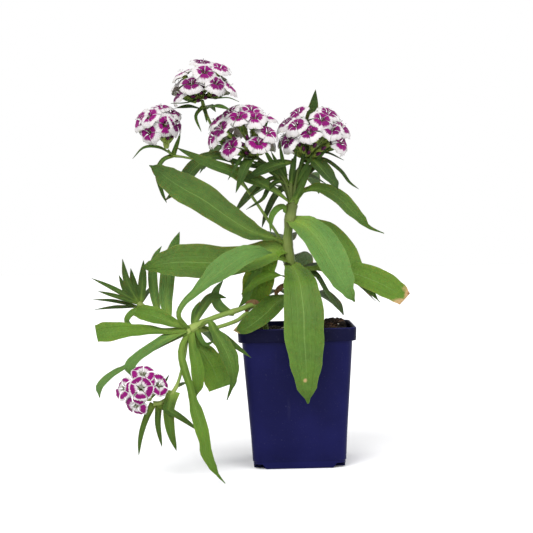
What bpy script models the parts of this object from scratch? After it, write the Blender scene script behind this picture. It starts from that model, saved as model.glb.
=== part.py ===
# Sweet william plant in a square nursery pot, about 380 mm tall.
# The origin is the middle of the pot's underside, +Z is up and -Y is the front.
# All sizes below are millimetres; they become metres when a mesh is written.
import math
import random

import bmesh
import bpy
from mathutils import Vector
from mathutils.bvhtree import BVHTree

MM = 0.001

# Pot: a 4 1/4 by 5 inch square nursery pot
RIM_WIDTH = 108.0
POT_HEIGHT = 129.0
COLLAR_HEIGHT = 12.2
COLLAR_OVERHANG = 3.5
BASE_WIDTH = 83.8
WALL = 1.5
FLOOR = 1.8
CORNER_RADIUS = 7.0
RIDGE_HEIGHT = 7.0
NOTCH_WIDTH = 11.0
NOTCH_HEIGHT = 4.6

# Soil
SOIL_GAP = 0.4
SOIL_LEVEL = 123.0
PILE_MIDDLE = (40.0, 38.0)
PILE_HEIGHT = 7.0
PILE_SPREAD = 260.0
SOIL_CELLS = 7
HOLE_GAP = 0.7
HOLE_SIDES = 12

# Greenery
LEAF_THICKNESS = 0.8
NARROW_THICKNESS = 0.7
BROAD_WIDTH = 12.0
LEAST_HALF_WIDTH = 0.8
FOLD_LIFT = 0.22
EDGE_WAVE = 0.035
STEM_SIDES = 6

# Flowers
FLORET_RADIUS = 11.0
PETAL_NOTCH = 0.55
STRAP_REACH = 0.42
STRAP_RADIUS = 0.9
PETAL_THICKNESS = 0.6
CALYX_LENGTH = 16.0
CALYX_RADIUS = 2.2
CALYX_SIDES = 4
STALK_RADIUS = 0.9
FLORET_GAP = 0.5
UPRIGHT_LEAN = (0, 0, 0.7)
FRONT_LEAN = (0, -0.35, 0.1)

random.seed(11)

# Each leaf: route in mm from its stem to its tip, full width, outline, and the way
# its upper face looks at the base and at the tip. An outline is a name, or the
# share of the full width at each point of the route.
MAIN_LEAVES = [
    # the big leaf that hangs over the front of the pot
    ([(-5, -2, 186), (-2, -16, 183), (2, -34, 176), (4, -50, 166), (6, -60, 144), (6, -64, 122),
      (7, -66, 100), (7, -67, 80), (8, -67, 63)],
     36, (0.31, 0.45, 0.69, 0.86, 1, 0.98, 0.83, 0.54, 0.05), (0, -0.3, 1), (0, -1, 0.1)),
    # its partner at the back
    ([(-5, 2, 186), (0, 32, 194), (6, 66, 182), (12, 96, 152)],
     30, "broad", (0, 0.3, 1), (0, 0.9, 0.4)),
    # upper left broad leaf
    ([(-6, -2, 205), (-17, -9, 210), (-30, -16, 214), (-44, -23, 220), (-62, -28, 232), (-82, -33, 247),
      (-99, -36, 257), (-114, -37, 267), (-123, -38, 275), (-131, -38, 280)],
     30, (0.17, 0.13, 0.39, 0.7, 0.86, 1, 0.96, 0.75, 0.43, 0.04), (-0.1, -0.8, 0.5), (0.2, -0.95, 0.3)),
    # middle left broad leaf
    ([(-5, -2, 191), (-20, -12, 198), (-40, -21, 192), (-62, -26, 189), (-85, -29, 190),
      (-104, -31, 191), (-120, -32, 190), (-132, -33, 188), (-141, -33, 187)],
     35, (0.44, 0.71, 0.79, 0.89, 1, 0.92, 0.64, 0.31, 0.04), (0, -0.75, 0.6), (0.1, -0.95, 0.25)),
    # right front leaf and the one behind it
    ([(-3, -2, 227), (9, -13, 222), (19, -22, 212), (27, -28, 200), (34, -32, 186), (42, -35, 171),
      (48, -37, 159), (53, -38, 151)],
     36, (0.39, 0.84, 1, 0.99, 0.93, 0.71, 0.32, 0.03), (0.2, -0.6, 0.8), (0.3, -0.9, 0.3)),
    ([(-1, 2, 229), (16, 7, 222), (34, 9, 213), (47, 9, 198), (57, 6, 177), (68, 3, 163), (80, 0, 148)],
     28, (0.32, 0.75, 1, 0.96, 0.79, 0.43, 0.04), (0.2, -0.6, 0.8), (0.6, -0.8, 0.3)),
    # lower right leaf with the blunt end
    ([(0, 0, 178), (18, 5, 181), (37, 6, 181), (56, 3, 176), (71, -2, 170), (84, -6, 164),
      (95, -10, 157), (102, -12, 151)],
     27, (0.19, 0.28, 0.72, 0.95, 1, 0.97, 0.79, 0.58), (0, -0.7, 0.7), (0.1, -0.9, 0.45)),
    # short leaf behind it and the one that reaches the back rim
    ([(-2, 1, 178), (28, 22, 182), (56, 26, 168), (78, 24, 148)],
     18, "lance", (0.2, 0.1, 1), (0.5, -0.3, 0.8)),
    ([(0, 1, 172), (17, 8, 176), (30, 14, 158), (46, 20, 136)],
     14, "lance", (0.4, -0.3, 0.9), (0.8, -0.4, 0.3)),
    # back leaf at the second node
    ([(-5, 0, 208), (-10, 32, 214), (-18, 64, 206), (-25, 94, 182)],
     28, "lance", (0, 0.3, 1), (-0.2, 0.8, 0.5)),
    # third node: right arching leaf, left long leaf, back leaf
    ([(-1, -1, 241), (8, -3, 252), (14, -5, 255), (24, -6, 256), (35, -7, 252), (45, -8, 245),
      (53, -8, 236), (62, -9, 227), (70, -10, 219), (84, -11, 213)],
     18, (0.38, 0.48, 0.51, 0.84, 1, 0.99, 0.93, 0.62, 0.21, 0.06), (-0.2, -0.5, 0.8), (0.3, -0.8, 0.6)),
    ([(-1, -1, 242), (-23, -14, 258), (-49, -20, 270), (-78, -28, 281), (-106, -30, 296)],
     17, "lance", (0.2, -0.5, 0.8), (0.2, -0.8, 0.5)),
    ([(1, 3, 256), (10, 28, 270), (20, 56, 270), (28, 84, 254)],
     20, "lance", (0, 0.2, 1), (0.2, 0.7, 0.6)),
    ([(-1, 1, 250), (-18, 26, 262), (-38, 46, 256), (-58, 60, 236)],
     16, "lance", (0, 0.2, 1), (-0.3, 0.7, 0.6)),
    # strap beside the stem and the dark leaves on its right
    ([(0, -3, 243), (8, -8, 259), (19, -12, 281)],
     6, "strap", (0.3, -0.9, 0.1), (0.3, -0.9, 0.1)),
    ([(2, 2, 262), (15, 12, 270), (32, 18, 262)],
     10, "lance", (0, -0.4, 0.9), (0.3, -0.5, 0.8)),
    # dark leaf under the third head
    ([(1, -3, 282), (-14, -14, 279), (-31, -22, 272), (-47, -26, 264)],
     12, "lance", (-0.2, -0.8, 0.5), (-0.2, -0.8, 0.5)),
    ([(-4, 0, 270), (-24, -8, 276), (-44, -13, 280), (-62, -18, 285), (-74, -22, 285), (-82, -24, 276)],
     9, "lance", (0, -0.5, 0.9), (-0.5, -0.6, 0.5)),
    # small leaves of the shoots in the angle of the stem
    ([(-4, 0, 264), (-19, -6, 267), (-31, -13, 259), (-43, -18, 248)],
     4.5, "strap", (0, -0.8, 0.6), (0, -0.9, 0.4)),
    ([(-3, -2, 262), (-14, -8, 264), (-23, -14, 257), (-29, -18, 247), (-44, -22, 238)],
     5, "strap", (0, -0.8, 0.6), (-0.4, -0.8, 0.3)),
    ([(-2, 2, 262), (-15, 10, 253), (-25, 12, 235), (-30, 12, 221)],
     8, "lance", (-0.5, -0.8, 0.3), (-0.6, -0.8, 0.1)),
    ([(-3, 0, 232), (-11, -5, 240), (-20, -10, 232), (-22, -11, 216)],
     8, "lance", (-0.3, -0.7, 0.7), (-0.5, -0.9, 0.1)),
    # bright leaf, the pale one above it and the drooping one over the rim
    ([(-4, -2, 172), (-18, -20, 177), (-35, -28, 171), (-50, -34, 160)],
     15, "lance", (-0.1, -0.4, 0.9), (-0.4, -0.8, 0.5)),
    ([(-6, -2, 195), (-20, -4, 198), (-31, -8, 189), (-37, -10, 176)],
     10, "lance", (-0.2, -0.5, 0.8), (-0.6, -0.7, 0.3)),
    ([(2, -2, 156), (-15, -28, 154), (-29, -46, 142), (-46, -62, 131), (-57, -71, 130)],
     25, "lance", (-0.2, -0.5, 0.9), (-0.2, -0.9, 0.5)),
    # the pale broad leaf that hangs behind the arching bluish one
    ([(-7, -3, 200), (-18, -9, 199), (-28, -13, 188), (-34, -16, 172), (-37, -17, 158), (-38, -18, 146)],
     29, (0.35, 0.55, 0.85, 1, 0.9, 0.35), (-0.1, -0.8, 0.5), (0, -1, 0.1)),
    # low leaves at the back
    ([(4, 3, 150), (20, 30, 158), (38, 54, 146), (50, 72, 132)],
     20, "lance", (0.1, 0.2, 1), (0.4, 0.5, 0.7)),
    ([(2, 4, 152), (-14, 30, 160), (-34, 56, 150), (-50, 76, 134)],
     20, "lance", (-0.1, 0.2, 1), (-0.4, 0.5, 0.7)),
]

MAIN_STEMS = [
    ([(4, 2, 108), (4, 2, 124), (3, 1, 140), (2, 0, 152), (-4, -2, 186), (-6, -2, 210), (-1, 0, 242)],
     [4.0, 4.0, 3.9, 3.8, 4.2, 4.0, 4.3]),
    ([(-1, 0, 240), (1, 0, 258), (3, 1, 270), (11, 0, 280)], [3.6, 2.4, 2.2, 2.2]),
    ([(-1, 0, 240), (-4, 1, 258), (-12, 0, 270), (-33, -2, 283)], [3.4, 2.2, 2.0, 2.0]),
    ([(-1, -1, 240), (-2, -3, 262), (-1, -4, 276), (1, -4, 285)], [2.6, 1.6, 1.4, 1.2]),
    ([(0, 1, 240), (5, 3, 262), (9, 3, 274), (12, 1, 280)], [2.6, 1.5, 1.4, 1.4]),
]

SIDE_LEAVES = [
    # leaf behind the upper left broad leaf, whose tip comes out below it
    ([(-59, 5, 288), (-71, -3, 289), (-85, 0, 284), (-97, 3, 273), (-109, 5, 259), (-121, 5, 249)],
     17, (0.46, 0.61, 0.96, 1, 0.56, 0.07), (0, -0.7, 0.7), (-0.5, -0.8, 0.3)),
    ([(-62, 7, 294), (-68, 24, 301), (-78, 40, 292), (-90, 54, 276)],
     11, "lance", (0, 0.2, 1), (-0.3, 0.7, 0.6)),
    # under the first head
    ([(-81, 5, 333), (-94, -8, 335.5), (-108, -12, 334)],
     7, "lance", (0, -0.6, 0.8), (0, -0.7, 0.7)),
    ([(-81, 5, 333), (-74, -14, 335), (-66, -28, 333), (-56, -36, 329)],
     8, "lance", (0.1, -0.7, 0.7), (0.2, -0.8, 0.5)),
    ([(-82, 1, 337), (-89, -12, 326), (-84, -16, 311)],
     3, "strap", (0, -1, 0), (0, -1, 0)),
    ([(-82, 1, 336), (-80, -8, 328), (-79, -11, 320)],
     3, "strap", (0.3, -1, 0), (0.3, -1, 0)),
    ([(-82, 3, 335), (-77, 20, 339), (-72, 34, 334)],
     7, "lance", (0, 0.3, 1), (0, 0.5, 0.8)),
    # under the second head
    ([(-112, 0, 291), (-124, -10, 298), (-138, -12, 298), (-149, -10, 288)],
     3.5, "strap", (-0.2, -0.7, 0.7), (-0.5, -0.8, 0.3)),
    ([(-112, 0, 291), (-108, -6, 300), (-104, -8, 310)],
     4, "strap", (0.3, -0.9, 0.2), (0.3, -0.9, 0.2)),
    ([(-111, 1, 291), (-121, -8, 286), (-126, -12, 274), (-122, -12, 256), (-118, -12, 246)],
     5, "strap", (-0.5, -0.8, 0.2), (-0.3, -0.9, 0.1)),
]

SIDE_STEMS = [
    ([(-8.8, 1.7, 201), (-14, 4, 212), (-29, 0, 236), (-47, -2, 264), (-60, 6, 290), (-73, 16, 314),
      (-81, 7, 332), (-83, -3, 341)], [1.5, 1.5, 1.4, 1.4, 1.3, 1.3, 1.5, 1.6]),
    ([(-44, -2, 259), (-57, 3, 270), (-82, 5, 284), (-101, 3, 289), (-112, 1, 291), (-117, 0, 296)],
     [1.2, 1.1, 1.1, 1.1, 1.2, 1.4]),
]

TRAIL_LEAVES = [
    # two broad leaves to the left with blunt ends
    ([(-98, -60, 131), (-118, -63, 130), (-132, -64, 131), (-145, -65, 131), (-158, -66, 131),
      (-170, -68, 130), (-179, -70, 129)],
     21, (0.33, 0.37, 0.55, 0.66, 0.89, 1, 0.82), (0, -0.6, 0.8), (0.1, -0.8, 0.5)),
    ([(-98, -58, 132), (-115, -59, 138), (-127, -58, 143), (-137, -57, 146), (-145, -56, 148)],
     18, (0.28, 0.77, 1, 0.9, 0.61), (0, -0.6, 0.8), (-0.1, -0.8, 0.5)),
    # leaves that hang to the lower left
    ([(-98, -60, 131), (-116, -68, 124), (-130, -74, 116), (-141, -77, 109), (-148, -79, 101),
      (-147, -80, 92)],
     14, (0.53, 0.9, 0.8, 0.82, 1, 0.27), (-0.3, -0.6, 0.7), (-0.6, -0.7, 0.3)),
    ([(-98, -61, 129), (-130, -68, 114), (-152, -75, 101), (-162, -77, 96), (-170, -79, 90),
      (-176, -80, 83), (-176, -80, 74)],
     11, (0.73, 0.57, 0.55, 0.79, 1, 0.97, 0.14), (-0.3, -0.5, 0.8), (-0.7, -0.6, 0.3)),
    # bluish leaf that arches up and over to the right
    ([(-99, -60, 132), (-106, -63, 144), (-101, -63, 155), (-92, -61, 163), (-82, -60, 172),
      (-71, -58, 180), (-59, -56, 188), (-46, -54, 196), (-33, -52, 199), (-21, -50, 198)],
     25, (0.44, 0.34, 0.34, 0.4, 0.61, 0.94, 1, 0.82, 0.53, 0.05), (-0.8, -0.5, 0.2), (0.2, -0.8, 0.6)),
    # long leaf that hangs nearly to the ground
    ([(-97, -62, 130), (-104, -70, 114), (-101, -76, 98), (-96, -84, 83), (-93, -90, 71), (-90, -95, 61),
      (-86, -100, 48), (-83, -104, 36), (-82, -107, 28), (-77, -110, 17), (-72, -112, 9), (-66, -113, 2)],
     12, (0.43, 0.49, 0.62, 0.53, 0.64, 0.97, 1, 0.81, 0.88, 0.62, 0.22, 0.06),
     (-0.3, -0.8, 0.4), (0.2, -1, 0.1)),
    # the hanging group to the right of the whorl
    ([(-94, -58, 130), (-90, -61, 119), (-83, -65, 108), (-77, -68, 98), (-73, -69, 88), (-70, -70, 79)],
     28, (0.22, 0.4, 0.72, 0.95, 1, 0.89), (0.4, -0.8, 0.5), (0.4, -0.9, 0.1)),
    ([(-94, -61, 130), (-94, -71, 118), (-91, -77, 107), (-89, -80, 96), (-89, -82, 84), (-91, -83, 73)],
     12, (0.36, 0.57, 0.86, 1, 0.86, 0.07), (0, -0.9, 0.4), (-0.1, -1, 0)),
    ([(-92, -58, 132), (-79, -66, 138), (-74, -72, 130), (-68, -76, 120), (-62, -79, 108),
      (-59, -80, 98), (-58, -80, 87), (-61, -79, 77), (-64, -79, 69)],
     18, (0.3, 0.32, 0.5, 0.89, 1, 0.76, 0.37, 0.16, 0.04), (0.3, -0.6, 0.8), (0.4, -0.9, 0)),
    # small leaves round the whorl
    ([(-94, -58, 132), (-92, -54, 146), (-87, -52, 156)], 6, "lance", (-0.5, -0.8, 0), (-0.4, -0.9, 0)),
    ([(-95, -60, 132), (-84, -55, 151), (-75, -52, 160), (-63, -50, 158)],
     10, "lance", (-0.4, -0.8, 0.4), (0, -0.8, 0.6)),
    ([(-57, -45, 142), (-70, -48, 151), (-73, -48, 163), (-66, -46, 174)],
     10, "lance", (-0.5, -0.8, 0.2), (-0.4, -0.9, 0)),
    ([(-86, -56, 134), (-69, -62, 126), (-55, -65, 115), (-42, -66, 105)],
     7, "lance", (0.4, -0.7, 0.6), (0.5, -0.8, 0.3)),
    ([(-90, -60, 132), (-87, -66, 124), (-82, -67, 118), (-74, -65, 121)],
     4, "strap", (0.3, -0.9, 0.3), (0, -1, 0)),
    ([(-96, -56, 130), (-84, -34, 128), (-76, -12, 112)], 18, "lance", (0.1, 0.2, 1), (0.2, 0.7, 0.6)),
    # leaves under the low head
    ([(-124, -80, 68), (-113, -85, 61), (-102, -87, 54), (-89, -89, 44)],
     6, "strap", (0.1, -0.8, 0.6), (0.2, -0.9, 0.4)),
    ([(-124, -80, 68), (-125, -84, 50), (-122, -84, 30)], 5, "strap", (0, -1, 0), (0, -1, 0)),
    ([(-111, -78, 78), (-115, -84, 64), (-114, -86, 45), (-109, -88, 27)],
     9, "strap", (0, -1, 0.2), (0.2, -1, 0)),
    ([(-129, -80, 68), (-136, -80, 54), (-141, -80, 38), (-143, -80, 22)],
     5, "strap", (-0.2, -1, 0), (-0.2, -1, 0)),
    ([(-109, -78, 81), (-100, -66, 84), (-94, -52, 78)], 8, "lance", (0.2, 0.2, 1), (0.3, 0.6, 0.7)),
]

TRAIL_STEMS = [
    ([(-28, -24, 108), (-28, -24, 126), (-33, -29, 143), (-40, -34, 150), (-52, -43, 147), (-77, -54, 140),
      (-96, -60, 131)], [2.6, 2.6, 2.5, 2.4, 2.4, 2.4, 3.4]),
    ([(-28, -24, 127), (-34, -33, 139), (-45, -41, 143), (-55, -48, 137), (-76, -52, 131), (-96, -60, 130)],
     [2.0, 1.9, 1.8, 1.8, 1.8, 2.4]),
    ([(-96, -60, 132), (-99, -64, 122), (-102, -72, 103), (-109, -77, 81), (-121, -80, 69), (-129, -81, 68)],
     [2.2, 1.6, 1.4, 1.4, 1.6, 1.7]),
]

TUFT_LEAVES = [
    ([(-144, -18, 152), (-166, -20, 166), (-189, -22, 178)], 6, "lance", (0, -0.7, 0.7), (0, -0.7, 0.7)),
    ([(-144, -18, 153), (-162, -12, 164), (-184, -8, 173)], 5, "lance", (0, -0.5, 0.9), (0, -0.5, 0.9)),
    ([(-144, -18, 152), (-164, -26, 160), (-182, -30, 166)], 6, "lance", (0, -0.7, 0.7), (0, -0.7, 0.7)),
    ([(-145, -18, 150), (-168, -22, 156), (-188, -20, 158)], 5, "lance", (0, -0.6, 0.8), (0, -0.6, 0.8)),
    ([(-145, -18, 150), (-168, -14, 150), (-188, -12, 148)], 5, "lance", (0, -0.6, 0.8), (0, -0.6, 0.8)),
    ([(-145, -18, 152), (-156, -18, 174), (-160, -18, 195)], 7, "lance", (-0.2, -1, 0), (-0.2, -1, 0)),
    ([(-145, -18, 152), (-158, -14, 166), (-165, -8, 180)], 6, "lance", (-0.3, -0.9, 0.3), (-0.3, -0.9, 0.3)),
    ([(-145, -18, 152), (-150, -16, 170), (-153, -14, 186)], 7, "lance", (0, -1, 0.1), (0, -1, 0.1)),
    ([(-144, -18, 152), (-142, -16, 174), (-141, -12, 193)], 8, "lance", (0, -1, 0.1), (0, -1, 0.1)),
    ([(-144, -18, 152), (-150, -2, 166), (-158, 16, 174)], 6, "lance", (0, 0.3, 1), (0, 0.3, 1)),
    ([(-144, -18, 152), (-138, 0, 164), (-132, 18, 170)], 6, "lance", (0, 0.3, 1), (0, 0.3, 1)),
    # the two wavy leaves that stand up behind the middle left leaf
    ([(-126, -26, 141), (-131, -14, 158), (-133, -9, 180), (-130, -8, 196), (-124, -8, 206)],
     13, "lance", (-0.2, -0.9, 0.3), (0, -0.9, 0.4)),
    ([(-116, -34, 138), (-120, -20, 156), (-118, -9, 186), (-112, -8, 206), (-107, -8, 219)],
     14, "lance", (-0.2, -0.9, 0.3), (0.2, -0.9, 0.4)),
    # small hanging leaf
    ([(-138, -20, 147), (-150, -28, 146), (-156, -30, 138), (-148, -30, 130)],
     6, "strap", (0, -0.8, 0.6), (-0.3, -0.9, 0)),
]

TUFT_STEM = ([(-98.9, -50, 132.4), (-116, -34, 138), (-133, -23, 145), (-146, -18, 153)],
             [1.9, 1.8, 1.7, 2.2])

# Heads: where the stem ends, the middle of the dome, its half sizes, and the
# direction of every floret on the dome as turn and height in degrees. A turn of
# -90 faces the front and 0 faces +X.
HEADS = {
    "first_head": dict(
        base=(-83, -4.4, 342.4), middle=(-81, -4, 353), size=(25, 24, 24),
        florets=[(-170, 35), (-115, 5), (-85, 32), (-95, 78), (-15, 50), (-60, 5), (-20, 0), (-160, -14),
                 (165, 10), (40, 14), (90, 35), (120, 5)]),
    "second_head": dict(
        base=(-118, 0, 297.3), middle=(-125, -2, 319), size=(19, 18, 17),
        florets=[(-65, -2), (-115, 25), (-25, 5), (-50, 75), (-5, 48), (-155, 20), (-118, -26), (140, 15),
                 (70, 20)]),
    "third_head": dict(
        base=(-34, -2, 285), middle=(-46, -4, 306), size=(31, 27, 27),
        florets=[(-60, 38), (-12, 42), (-40, 6), (-130, 15), (-98, 40), (-60, -15), (-155, 2), (-112, -22),
                 (-25, 72), (-140, 60), (-165, 36), (112, 12), (95, 45), (64, 24), (34, -4)]),
    "fourth_head": dict(
        base=(12, 0, 281.4), middle=(20, 0, 305), size=(31, 27, 27),
        florets=[(-165, 30), (-160, 62), (-125, 22), (-98, 6), (-72, 34), (-35, 55), (-55, 12), (-22, 18),
                 (-140, -8), (-32, -14), (25, 30), (60, 12), (110, 15), (148, 5)]),
    "low_head": dict(
        base=(-132.4, -81.7, 70.4), middle=(-138, -84, 80), size=(19, 17, 18),
        florets=[(-80, 62), (-150, 12), (-88, 14), (-30, 18), (-112, -43), (90, 40)]),
}

# Narrow leaves and pointed bracts that belong to a head.
HEAD_LEAVES = {
    "first_head": [
        ([(-84, -5, 344), (-96, -20, 338), (-111, -26, 337)], 2.5, "strap", (0, -0.6, 0.8), (0, -0.6, 0.8)),
        ([(-82, -4, 344), (-70, -22, 341), (-58, -26, 341), (-48, -26, 337)],
         2.5, "strap", (0, -0.6, 0.8), (0, -0.6, 0.8)),
    ],
    "second_head": [],
    "third_head": [
        ([(-34, -3, 286), (-40, -22, 283), (-45, -34, 273), (-53, -37, 253)],
         12, "lance", (-0.3, -0.6, 0.7), (-0.3, -0.9, 0.1)),
        ([(-35, -4, 285), (-46, -24, 287), (-53, -32, 276), (-60, -35, 265)],
         4, "strap", (-0.3, -0.8, 0.5), (-0.4, -0.9, 0.1)),
        ([(-36, -3, 286), (-56, -14, 290), (-80, -20, 291)], 3, "strap", (0, -0.6, 0.8), (0, -0.6, 0.8)),
        ([(-34, -1, 286), (-40, 22, 291), (-48, 42, 280)], 9, "lance", (0, 0.3, 1), (0, 0.7, 0.6)),
    ],
    "fourth_head": [
        # the leaf that stands up through the flowers
        ([(12, 1, 283), (15, 9, 300), (19, 12, 320), (22, 12, 336), (24, 13, 351)],
         13, "lance", (-0.3, -0.9, 0), (-0.2, -0.9, 0)),
        ([(13, -2, 284), (18, -10, 284), (25, -18, 276), (31, -23, 268), (37, -26, 261), (41, -28, 254)],
         18, (0.55, 0.92, 1, 0.87, 0.56, 0.07), (0.3, -0.6, 0.7), (0.5, -0.8, 0.3)),
        ([(14, 0, 283), (30, 0, 284), (45, -2, 273), (53, -3, 262), (62, -4, 255)],
         4, "strap", (0, -0.7, 0.7), (0.3, -0.9, 0.3)),
        ([(14, -2, 284), (30, -10, 290), (48, -12, 282)], 3, "strap", (0, -0.7, 0.7), (0.2, -0.8, 0.5)),
        ([(12, 2, 283), (20, 22, 288), (30, 40, 278)], 10, "lance", (0, 0.3, 1), (0, 0.7, 0.6)),
    ],
    "low_head": [
        ([(-132, -82, 73), (-122, -72, 82), (-115, -68, 92)], 3, "strap", (0.2, -1, 0), (0.2, -1, 0)),
    ],
}

COLOURS = {
    "pot": ((0.008, 0.008, 0.090), 0.45),
    "soil": ((0.030, 0.020, 0.014), 0.95),
    "leaf": ((0.110, 0.260, 0.045), 0.55),
    "side": ((0.130, 0.280, 0.060), 0.55),
    "trail": ((0.120, 0.290, 0.060), 0.55),
    "tuft": ((0.080, 0.210, 0.040), 0.55),
    "calyx": ((0.210, 0.280, 0.070), 0.60),
    "petal": ((0.780, 0.560, 0.720), 0.60),
}


def clear_scene():
    for obj in list(bpy.data.objects):
        bpy.data.objects.remove(obj, do_unlink=True)


def material(name, colour, roughness):
    mat = bpy.data.materials.new(name)
    mat.use_nodes = True
    shader = mat.node_tree.nodes["Principled BSDF"]
    shader.inputs["Base Color"].default_value = (*colour, 1.0)
    shader.inputs["Roughness"].default_value = roughness
    shader.inputs["Metallic"].default_value = 0.0
    return mat


def mesh_object(name, points, faces):
    mesh = bpy.data.meshes.new(name)
    mesh.from_pydata([tuple(c * MM for c in p) for p in points], [], faces)
    bm = bmesh.new()
    bm.from_mesh(mesh)
    bmesh.ops.recalc_face_normals(bm, faces=bm.faces)
    bm.to_mesh(mesh)
    bm.free()
    obj = bpy.data.objects.new(name, mesh)
    bpy.context.scene.collection.objects.link(obj)
    return obj


def smooth_route(points, steps):
    """Evenly numbered points of a Catmull-Rom curve through the given ones."""
    pts = [Vector(p) for p in points]
    pts = [pts[0] * 2 - pts[1]] + pts + [pts[-1] * 2 - pts[-2]]
    spans = len(pts) - 3
    out = []
    for i in range(steps + 1):
        u = i / steps * spans
        k = min(int(u), spans - 1)
        t = u - k
        a, b, c, d = pts[k:k + 4]
        curve = (2 * a - 5 * b + 4 * c - d) * t * t + (3 * b - a - 3 * c + d) * t * t * t
        out.append(0.5 * (2 * b + (c - a) * t + curve))
    return out


def tangents(route):
    out = []
    last = len(route) - 1
    for i in range(len(route)):
        step = route[min(i + 1, last)] - route[max(i - 1, 0)]
        out.append(step.normalized())
    return out


# Share of the full width along a leaf, from 0 at its stem to 1 at its tip
def outline(kind, t):
    if not isinstance(kind, str):
        reach = t * (len(kind) - 1)
        k = min(int(reach), len(kind) - 2)
        ease = (1 - math.cos(math.pi * (reach - k))) / 2
        return kind[k] + (kind[k + 1] - kind[k]) * ease
    if kind == "lance":
        return 0.16 * (1 - t) ** 2 + math.sin(math.pi * t ** 0.85) ** 0.85 * 0.97
    if kind == "broad":
        return 0.14 * (1 - t) ** 2 + math.sin(math.pi * t ** 1.36) ** 0.6 * 0.98
    if kind == "spoon":
        return 0.12 * (1 - t) + math.sin(math.pi * t ** 1.9) ** 1.1 * 0.97
    if kind == "blunt":
        return 0.30 * (1 - t) ** 2 + (t ** 0.8) * (1 - t ** 7) ** 0.6
    return 0.55 * (1 - t) ** 3 + 0.8 * (1 - t ** 4) ** 0.8 + 0.2 * math.sin(math.pi * t)


def leaf_steps(route, width):
    """Wide and much bent leaves get more rows."""
    if width >= 24:
        return 6
    if len(route) > 7:
        return 5
    return 4 if width >= 17 or len(route) > 5 else 3


def leaf(name, route, width, kind, face_base, face_tip):
    """A folded blade for a broad leaf, a flat one for a narrow leaf."""
    broad = width >= BROAD_WIDTH
    steps = leaf_steps(route, width)
    thick = LEAF_THICKNESS if broad else NARROW_THICKNESS
    path = smooth_route(route, steps)
    ways = tangents(path)
    rows = []
    for i, point in enumerate(path):
        t = i / steps
        facing = Vector(face_base).lerp(Vector(face_tip), t)
        up = (facing - ways[i] * facing.dot(ways[i])).normalized()
        side = ways[i].cross(up)
        half = max(width * 0.5 * outline(kind, t), LEAST_HALF_WIDTH)
        lift = up * (half * FOLD_LIFT) if broad else Vector()
        wave = Vector()
        if broad and 0 < i < steps:
            wave = up * (EDGE_WAVE * width * math.sin(i * 2.3 + width))
        skin = up * (thick * 0.5)
        left = point - side * half + lift + wave
        right = point + side * half + lift - wave
        if broad:
            rows.append([left + skin, point + skin, right + skin, right - skin, point - skin, left - skin])
        else:
            rows.append([left + skin, right + skin, right - skin, left - skin])
    return blade_mesh(name, rows)


def blade_mesh(name, rows):
    """Skins the rows with the same diagonals on the upper and under side."""
    ring = len(rows[0])
    top = ring // 2
    points = [p for row in rows for p in row]
    faces = []
    for i in range(len(rows) - 1):
        a, b = i * ring, (i + 1) * ring
        for k in range(top - 1):
            lower = ring - 1 - k
            faces += [(a + k, b + k, b + k + 1), (a + k, b + k + 1, a + k + 1)]
            faces += [(a + lower, b + lower - 1, b + lower), (a + lower, a + lower - 1, b + lower - 1)]
        faces += [(a, a + ring - 1, b + ring - 1), (a, b + ring - 1, b)]
        faces += [(a + top - 1, b + top - 1, b + top), (a + top - 1, b + top, a + top)]
    for base, flip in ((0, False), ((len(rows) - 1) * ring, True)):
        for k in range(top - 1):
            lower = ring - 1 - k
            cap = [(base + k, base + k + 1, base + lower - 1), (base + k, base + lower - 1, base + lower)]
            faces += [tuple(reversed(f)) for f in cap] if flip else cap
    return mesh_object(name, points, faces)


def tube(name, route, radii, sides):
    path = [Vector(p) for p in route]
    steps = len(path) - 1
    ways = tangents(path)
    ahead = ways[0]
    across = ahead.cross(Vector((0.3, 1, 0.2))).normalized()
    points = []
    for i, point in enumerate(path):
        across = (across - ways[i] * across.dot(ways[i])).normalized()
        other = ways[i].cross(across)
        u = i / steps * (len(radii) - 1)
        k = min(int(u), len(radii) - 2)
        radius = radii[k] + (radii[k + 1] - radii[k]) * (u - k)
        for j in range(sides):
            turn = 2 * math.pi * j / sides
            points.append(point + (across * math.cos(turn) + other * math.sin(turn)) * radius)
    return mesh_object(name, points, tube_faces(len(path), sides))


def tube_faces(rings, sides):
    faces = []
    for i in range(rings - 1):
        for j in range(sides):
            a, b = i * sides + j, i * sides + (j + 1) % sides
            faces += [(a, b, b + sides), (a, b + sides, a + sides)]
    end = (rings - 1) * sides
    for j in range(1, sides - 1):
        faces.append((0, j + 1, j))
        faces.append((end, end + j, end + j + 1))
    return faces


def fuse(name, pieces):
    """Joins the pieces into one closed body and drops the loose ones."""
    group = bpy.data.collections.new(name + "_pieces")
    base, rest = pieces[0], pieces[1:]
    for piece in rest:
        bpy.context.scene.collection.objects.unlink(piece)
        group.objects.link(piece)
    union = base.modifiers.new("union", "BOOLEAN")
    union.operation = "UNION"
    union.operand_type = "COLLECTION"
    union.collection = group
    union.solver = "EXACT"
    bpy.context.view_layer.update()
    graph = bpy.context.evaluated_depsgraph_get()
    mesh = bpy.data.meshes.new_from_object(base.evaluated_get(graph))
    base.modifiers.clear()
    base.data = mesh
    base.name = name
    mesh.name = name
    for piece in rest:
        bpy.data.objects.remove(piece, do_unlink=True)
    bpy.data.collections.remove(group)
    report(base)
    return base


def report(obj):
    """Prints how many triangles and separate shells a body has."""
    bm = bmesh.new()
    bm.from_mesh(obj.data)
    bmesh.ops.triangulate(bm, faces=bm.faces)
    rough = sum(1 for e in bm.edges if len(e.link_faces) != 2)
    print(obj.name, "triangles", len(bm.faces), "shells", count_shells(bm), "open edges", rough)
    bm.free()


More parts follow.
